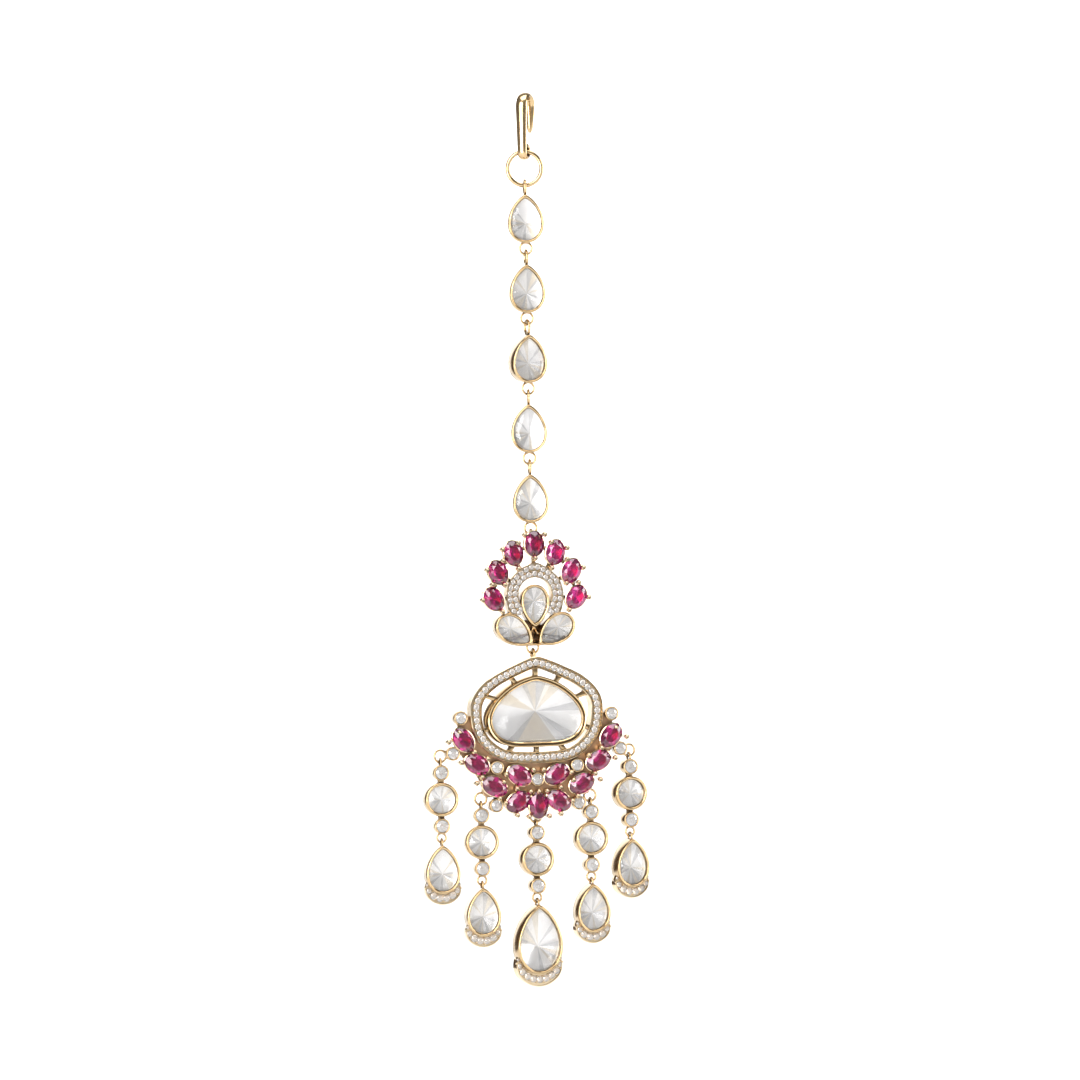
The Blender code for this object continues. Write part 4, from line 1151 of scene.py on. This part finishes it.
def make_pendant(pivot):
    """The pendant. Returns its frame and the flat places of the drops' carrying wires."""
    stand = upright(pivot, 0.0)
    middle = FRAME_BELOW - FRAME_HEIGHT - RING_WIRE / 2 - PENDANT_GAP
    here = Vector((0, middle))
    front = PENDANT_BACK + FRAME_DEPTH
    metal = bmesh.new()
    stones = bmesh.new()
    outer = drawn(FRAME_SHAPE, FRAME_HALF_WIDTH, FRAME_HEIGHT, middle - FRAME_BELOW)
    inner = larger(outer, -FRAME_BAND)
    band_plate(metal, outer, inner, PENDANT_BACK, front, FRAME_RIM, FRAME_SINK)
    spots = strip_spots(outer(-FRAME_RIM), inner(FRAME_RIM), 0.5, FRAME_PAVE_STEP)
    pave_row(metal, stones, spots, FRAME_PAVE, front - FRAME_PAVE_SINK, FRAME_GRAIN, closed=True)

    stone = drawn(STONE_SHAPE, STONE_HALF_WIDTH, STONE_HEIGHT, middle - STONE_BELOW)
    rim = larger(stone, STONE_GAP + STONE_WALL)
    bezel_back = PENDANT_BACK - CENTRE_BEZEL_SINK
    bezel_front = bezel_back + BEZEL_DEPTH
    centre_bezel(metal, rim, bezel_back, bezel_front)
    make_spokes(metal, rim(0.0), inner(0.0), here, PENDANT_BACK + FRAME_DEPTH / 2)

    centre = middle - CRESCENT_DROP
    plate_back = -HOOP_WIRE / 4
    crescent_plate(metal, outer, centre, plate_back, plate_back + CRESCENT_PLATE)
    ruby_back = plate_back + CRESCENT_PLATE - STONE_GAP
    size = (CRESCENT_RUBY_WIDTH, CRESCENT_RUBY_LENGTH)
    rubies = places(CRESCENT_RUBIES, CRESCENT_RADIUS, centre)
    for x, y, tilt in rubies:
        ruby_collet(metal, *size, x, y, tilt, ruby_back)
    for x, y in places(CRESCENT_MELEE, CRESCENT_RADIUS, centre):
        melee(metal, stones, MELEE_RADIUS, x, y, -HOOP_WIRE / 2, MELEE_DEPTH - HOOP_WIRE / 2)
    for x, y in places(CRESCENT_PRONGS, CRESCENT_RADIUS, centre):
        bead(metal, x, y, plate_back + PRONG_ROOT, ruby_back + CRESCENT_PRONG_RISE, PRONG_RADIUS)

    loop_y = loop_centre(RING_WIRE, CREST_LOOP_RADIUS, LOOP_WIRE)
    flat_ring(metal, CREST_LOOP_RADIUS, LOOP_WIRE, 0, loop_y, edge_on=True)
    hoops = []
    for x, y in places(CRESCENT_HOOPS, CRESCENT_RADIUS, centre):
        flat_ring(metal, HOOP_RADIUS, HOOP_WIRE, x, y)
        hoops.append((x, y - HOOP_RADIUS + HOOP_WIRE / 2))
    place("pendant_metal", metal, stand, "pendant", "gold", METALS, "pendant_setting")
    place("pendant_pave", stones, stand, "pendant", "white_stone", [pave], "pendant_setting")
    set_stone("centre_stone", stone, here, bezel_front, CENTRE_CUT, 0, stand, "pendant",
              "pendant_stone", table=0.70, sides=12)
    for number, (x, y, tilt) in enumerate(rubies, 1):
        make_ruby(f"crescent_ruby_{number}", stand, "pendant", f"pendant_ruby_{number}", *size, x, y,
                  tilt, ruby_back)
    return stand, hoops


def centre_bezel(target, rim, back, front):
    """The big bezel: outer rim, a dark groove, and a second rim round the stone."""
    bm = bmesh.new()
    rows = [(-0.12 * MM, back), (0.0, back + 0.12 * MM)]
    for share, drop in ((0.0, 0.22), (0.10, 0.05), (0.25, 0.0), (0.40, 0.06), (0.50, 0.28), (0.58, 0.28),
                        (0.66, 0.12), (0.80, 0.03), (0.95, 0.14), (1.0, 0.4)):
        rows.append((-STONE_WALL * share, front - drop * MM))
    rows += [(-STONE_WALL, front - RIM_DEPTH), (-STONE_WALL, back + BEZEL_FLOOR)]
    solid(bm, rim, rows)
    line_with_foil(bm, front)
    stamp(target, bm)


def make_spokes(target, rim_line, inner_line, here, level):
    """Short bars that hold the centre bezel in the frame, evenly round it."""
    for i in range(SPOKE_COUNT):
        turn = 360 * i / SPOKE_COUNT
        direction = Vector((sin(radians(turn)), cos(radians(turn))))
        start = reach(rim_line, here, direction) - STONE_WALL / 2
        end = reach(inner_line, here, direction) + FRAME_BAND / 4
        bar(target, *here, -turn, SPOKE_WIDTH, start, end, level - SPOKE_BACK, level + SPOKE_FRONT)


def crescent_plate(target, frame_shape, centre, back, front):
    """The plate behind the rubies, from the frame down to a scalloped edge. Its front is darker gold:
    painted shade.
    """
    rows = both_sides(CRESCENT_EDGE)
    corners = [polar(angle, CRESCENT_RADIUS * share + CRESCENT_MARGIN, centre) for angle, share in rows]
    middle = Vector((0, centre))
    swing = rows[-1][0]
    outside = arc_of(smooth_loop(corners), middle, swing, PLATE_STEPS, up=-1)
    inside = arc_of(frame_shape(-FRAME_BAND / 2), middle, swing, PLATE_STEPS, up=-1)

    def shape(grow):
        return offset(outside + inside[::-1], grow)
    bm = bmesh.new()
    solid(bm, shape, [(-0.08 * MM, back), (0.0, back + 0.08 * MM), (0.0, front - 0.1 * MM),
                      (-0.1 * MM, front)], SHADE)
    stamp(target, bm)


# Drops

def make_drop(number, parent, hoop, width, height, border):
    """A bar of three round bezels, and the pear that hangs from it."""
    stand = parent @ hung(*hoop, BAR_TWISTS[number - 1])
    back = -BAR_DEPTH / 2
    front = back + BAR_DEPTH
    small_y = -HOOP_WIRE / 2 - HANG_GAP - BAR_SMALL_RADIUS
    big_y = small_y - BAR_STEP
    last_y = big_y - BAR_STEP
    ring_y = last_y - BAR_SMALL_RADIUS + SOLDER - DROP_RING_RADIUS
    metal = bmesh.new()
    stones = bmesh.new()
    big = moved(oval(BAR_BIG_RADIUS, BAR_BIG_RADIUS, OUTLINE_POINTS), 0, big_y)
    bezel(metal, big, back, front, ROUND_WALL, back + BEZEL_FLOOR)
    wall = BAR_BIG_RADIUS - ROUND_WALL / 2
    for low, high in ((last_y, big_y - wall), (big_y + wall, small_y)):
        bar(metal, 0, 0, 0.0, BAR_BRIDGE, low, high, -BAR_BRIDGE / 2, BAR_BRIDGE / 2)
    for y in (small_y, last_y):
        melee(metal, stones, BAR_SMALL_RADIUS, 0, y, back + BAR_SMALL_SINK, front - BAR_SMALL_SINK)
    loop_y = loop_centre(HOOP_WIRE, DROP_LOOP_RADIUS, DROP_LOOP_WIRE)
    flat_ring(metal, DROP_LOOP_RADIUS, DROP_LOOP_WIRE, 0, loop_y, edge_on=True)
    flat_ring(metal, DROP_RING_RADIUS, DROP_RING_WIRE, 0, ring_y)
    bar_node = f"drop_bar_{number}"
    place(f"bar_metal_{number}", metal, stand, "pendant", "gold", METALS, bar_node)
    place(f"bar_melee_{number}", stones, stand, "pendant", "white_stone", [pave], bar_node)
    seat_radius = BAR_BIG_RADIUS - ROUND_WALL - STONE_GAP / 2
    seat = moved(oval(seat_radius, seat_radius), 0, big_y)
    set_stone(f"bar_stone_{number}", seat, Vector((0, big_y)), front, ROUND_CUT, number * 5 + 3, stand,
              "pendant", f"drop_round_{number}")

    pear_pivot = ring_y - DROP_RING_RADIUS + DROP_RING_WIRE / 2
    stand = stand @ hung(0, pear_pivot, PEAR_TWISTS[number - 1] - BAR_TWISTS[number - 1])
    loop_y = loop_centre(DROP_RING_WIRE, DROP_LOOP_RADIUS, DROP_LOOP_WIRE)
    tip = loop_y - DROP_LOOP_RADIUS + 2 * SOLDER
    back = -BEZEL_DEPTH / 2
    front = BEZEL_DEPTH / 2
    shape = moved(pear(width, height), 0, tip)
    metal = bmesh.new()
    stones = bmesh.new()
    bezel(metal, shape, back, front, BEZEL_WALL, back + BEZEL_FLOOR)
    drop_border(metal, stones, shape, width, height, border, tip, back + BORDER_LIFT)
    flat_ring(metal, DROP_LOOP_RADIUS, DROP_LOOP_WIRE, 0, loop_y, edge_on=True)
    pear_node = f"drop_setting_{number}"
    place(f"pear_metal_{number}", metal, stand, "pendant", "gold", METALS, pear_node)
    place(f"pear_pave_{number}", stones, stand, "pendant", "white_stone", [pave], pear_node)
    make_pear_stone(f"pear_stone_{number}", shape, tip, height, front, stand, "pendant",
                    f"drop_pear_{number}")


def drop_border(metal, stones, bezel_shape, width, height, border, tip, back):
    """The pave crescent along the lower edge of a pear."""
    depth = height * BORDER_CURVE_SHARE + border
    half = width / 2 + border * BORDER_SIDE_SHARE
    low = tip - height - border + depth
    centre = Vector((0, low))
    edge = moved(lower_half(half, depth), 0, low)
    front = back + BORDER_DEPTH
    outlines = (edge(0.0), bezel_shape(-BORDER_OVERLAP), edge(-BORDER_RIM), bezel_shape(0.0))
    outside, inside, outer_line, inner_line = (
        arc_of(outline, centre, BORDER_SWING, BORDER_STEPS, up=-1) for outline in outlines)
    for i in range(BORDER_STEPS + 1):
        near_end = max(0.0, abs(2 * i / BORDER_STEPS - 1) - BORDER_TAPER_FROM) / (1 - BORDER_TAPER_FROM)
        taper = BORDER_TAPER * near_end ** 2
        outside[i] = outside[i].lerp(inside[i], taper)
        outer_line[i] = outer_line[i].lerp(inner_line[i], taper)
    strip(metal, outside, inside, back, front, BORDER_RIM, BORDER_RIM)
    spots = even_line([a.lerp(b, 0.5) for a, b in zip(outer_line, inner_line)], BORDER_PAVE_STEP)
    grain_beads(metal, spots, BORDER_GRAIN_REACH, front - BORDER_GRAIN_ROOT, front + BORDER_GRAIN_RISE,
                BORDER_GRAIN)
    for spot in spots:
        at = min(range(BORDER_STEPS + 1), key=lambda i: (outer_line[i] + inner_line[i] - 2 * spot).length)
        room = (outer_line[at] - inner_line[at]).length
        radius = min(BORDER_PAVE_MOST, max(BORDER_PAVE_LEAST, room * 0.42))
        pave_stone(stones, spot, radius, front - BORDER_PAVE_SINK, 0.38, 0.7)


# Stage

def dull_finish(name, scale, first, second, rough):
    """A dull, faintly mottled finish for what stands round the jewel."""
    finish, tree, shader = new_material(name)
    noise = tree.nodes.new("ShaderNodeTexNoise")
    noise.inputs["Scale"].default_value = scale
    tint = blend_colours(tree, noise, "Fac", first, second)
    tree.links.new(tint.outputs[2], shader.inputs["Base Color"])
    shader.inputs["Roughness"].default_value = rough
    return finish


def studio_piece(name, bm, finish):
    """An object of the studio, not of the jewel."""
    mesh = bpy.data.meshes.new(name)
    bm.to_mesh(mesh)
    bm.free()
    mesh.materials.append(finish)
    piece = bpy.data.objects.new(name, mesh)
    bpy.context.scene.collection.objects.link(piece)
    return piece


def make_stage():
    """A pale floor that curves up into a backdrop, well behind the jewel."""
    bm = bmesh.new()
    verts = [bm.verts.new((side * STAGE_HALF, -STAGE_HALF, STAGE_FLOOR)) for side in (-1, 1)]
    edges = [bm.edges.new(verts)]
    route = []
    for i in range(STAGE_STEPS + 1):
        turn = pi / 2 * i / STAGE_STEPS
        route.append((STAGE_BEND + STAGE_CURVE * sin(turn), STAGE_FLOOR + STAGE_CURVE * (1 - cos(turn))))
    route.append((STAGE_BEND + STAGE_CURVE, STAGE_HALF))
    for y, z in route:
        made = bmesh.ops.extrude_edge_only(bm, edges=edges)["geom"]
        edges = [part for part in made if isinstance(part, bmesh.types.BMEdge)]
        for vert in [part for part in made if isinstance(part, bmesh.types.BMVert)]:
            vert.co.y = y
            vert.co.z = z
    bmesh.ops.recalc_face_normals(bm, faces=bm.faces)
    paper = dull_finish("backdrop_paper", 3.0, (0.93, 0.93, 0.93), (0.95, 0.95, 0.95), 0.9)
    backdrop = studio_piece("backdrop", bm, paper)
    backdrop.data.shade_smooth()


def add_area(name, spot, aim, size, power):
    """A soft box."""
    lamp = bpy.data.lights.new(name, "AREA")
    lamp.shape = "RECTANGLE"
    lamp.size, lamp.size_y = size
    lamp.energy = power
    item = bpy.data.objects.new(name, lamp)
    item.location = spot
    item.rotation_euler = (Vector(aim) - Vector(spot)).to_track_quat("-Z", "Y").to_euler()
    bpy.context.scene.collection.objects.link(item)


def make_flag():
    """A dark card for the dark edges of polished metal. The camera doesn't see it."""
    bm = bmesh.new()
    size = Matrix.Diagonal((*FLAG_SIZE, 1.0))
    bmesh.ops.create_cube(bm, size=1.0, matrix=Matrix.Translation(FLAG_SPOT) @ size)
    felt = dull_finish("flag_felt", 40.0, (0.05, 0.03, 0.018), (0.035, 0.02, 0.012), 0.95)
    flag = studio_piece("flag", bm, felt)
    flag.visible_camera = False
    flag.visible_shadow = False


def make_world():
    """A tent that is bright on the viewer's side and above, and dimmer round the sides and below."""
    world = bpy.data.worlds.new("studio")
    bpy.context.scene.world = world
    world.use_nodes = True
    tree = world.node_tree
    back = tree.nodes["Background"]
    back.inputs["Color"].default_value = (1.0, 1.0, 1.0, 1.0)
    where = tree.nodes.new("ShaderNodeTexCoord")
    side = tree.nodes.new("ShaderNodeVectorMath")
    side.operation = "DOT_PRODUCT"
    azimuth = radians(CAMERA_AZIMUTH)
    side.inputs[1].default_value = (sin(azimuth), -cos(azimuth), 0.0)
    link(tree, where, "Generated", side, 0)
    dim = map_range(tree, side, "Value", TENT_SIDES, TENT_FRONT, -0.05, 0.55)
    dim.interpolation_type = "SMOOTHSTEP"
    parts = tree.nodes.new("ShaderNodeSeparateXYZ")
    link(tree, where, "Generated", parts, "Vector")
    lift = map_range(tree, parts, "Z", TENT_BELOW, TENT_ABOVE, -0.3, 0.9)
    total = multiply(tree, dim, "Result")
    link(tree, lift, "Result", total, 1)
    link(tree, total, "Value", back, "Strength")


def make_light():
    """Soft studio light: two tall boxes, one above, and a wash on the backdrop."""
    for name, row in LAMPS.items():
        add_area(name, *row)


def make_camera():
    """The photograph's view: a long lens, level and from the left."""
    azimuth = radians(CAMERA_AZIMUTH)
    tilt = radians(CAMERA_ELEVATION)
    roll = radians(CAMERA_ROLL)
    back = Vector((sin(azimuth) * cos(tilt), -cos(azimuth) * cos(tilt), sin(tilt)))
    level = Vector((cos(azimuth), sin(azimuth), 0.0))
    right = level * cos(roll) + back.cross(level) * sin(roll)
    up = back.cross(right)
    across = (ORIGIN_PIXEL[0] - PHOTO_SIDE / 2) * PIXEL
    above = (PHOTO_SIDE / 2 - ORIGIN_PIXEL[1]) * PIXEL
    centre = -right * across - up * above
    lens = bpy.data.cameras.new("view")
    lens.sensor_width = 36.0
    lens.lens = lens.sensor_width * CAMERA_DISTANCE / (PHOTO_SIDE * PIXEL)
    camera = bpy.data.objects.new("view", lens)
    turn = Matrix((right, up, back)).transposed().to_4x4()
    camera.matrix_world = Matrix.Translation(centre + back * CAMERA_DISTANCE) @ turn
    bpy.context.scene.collection.objects.link(camera)
    bpy.context.scene.camera = camera


def main():
    scene = bpy.context.scene
    scene.view_settings.view_transform = "Standard"
    make_camera()
    make_world()
    make_light()
    make_stage()
    make_flag()
    joints = {joint["name"]: Vector(joint["pos_m"]) for joint in frame["joints"]}
    eye = make_hook()
    pivot = make_hook_ring(eye)
    wire = HOOK_RING_WIRE
    for number in range(1, LINK_COUNT + 1):
        pivot = make_link(number, pivot, wire)
        wire = RING_WIRE
    make_crest(joints["crest_swing"])
    pendant, hoops = make_pendant(joints["pendant_swing"])
    centre = len(hoops) // 2 + 1
    for number, hoop in enumerate(hoops, 1):
        size = (DROP_WIDTH, DROP_HEIGHT, DROP_BORDER)
        if number == centre:
            size = (CENTRE_DROP_WIDTH, CENTRE_DROP_HEIGHT, CENTRE_DROP_BORDER)
        make_drop(number, pendant, hoop, *size)


main()
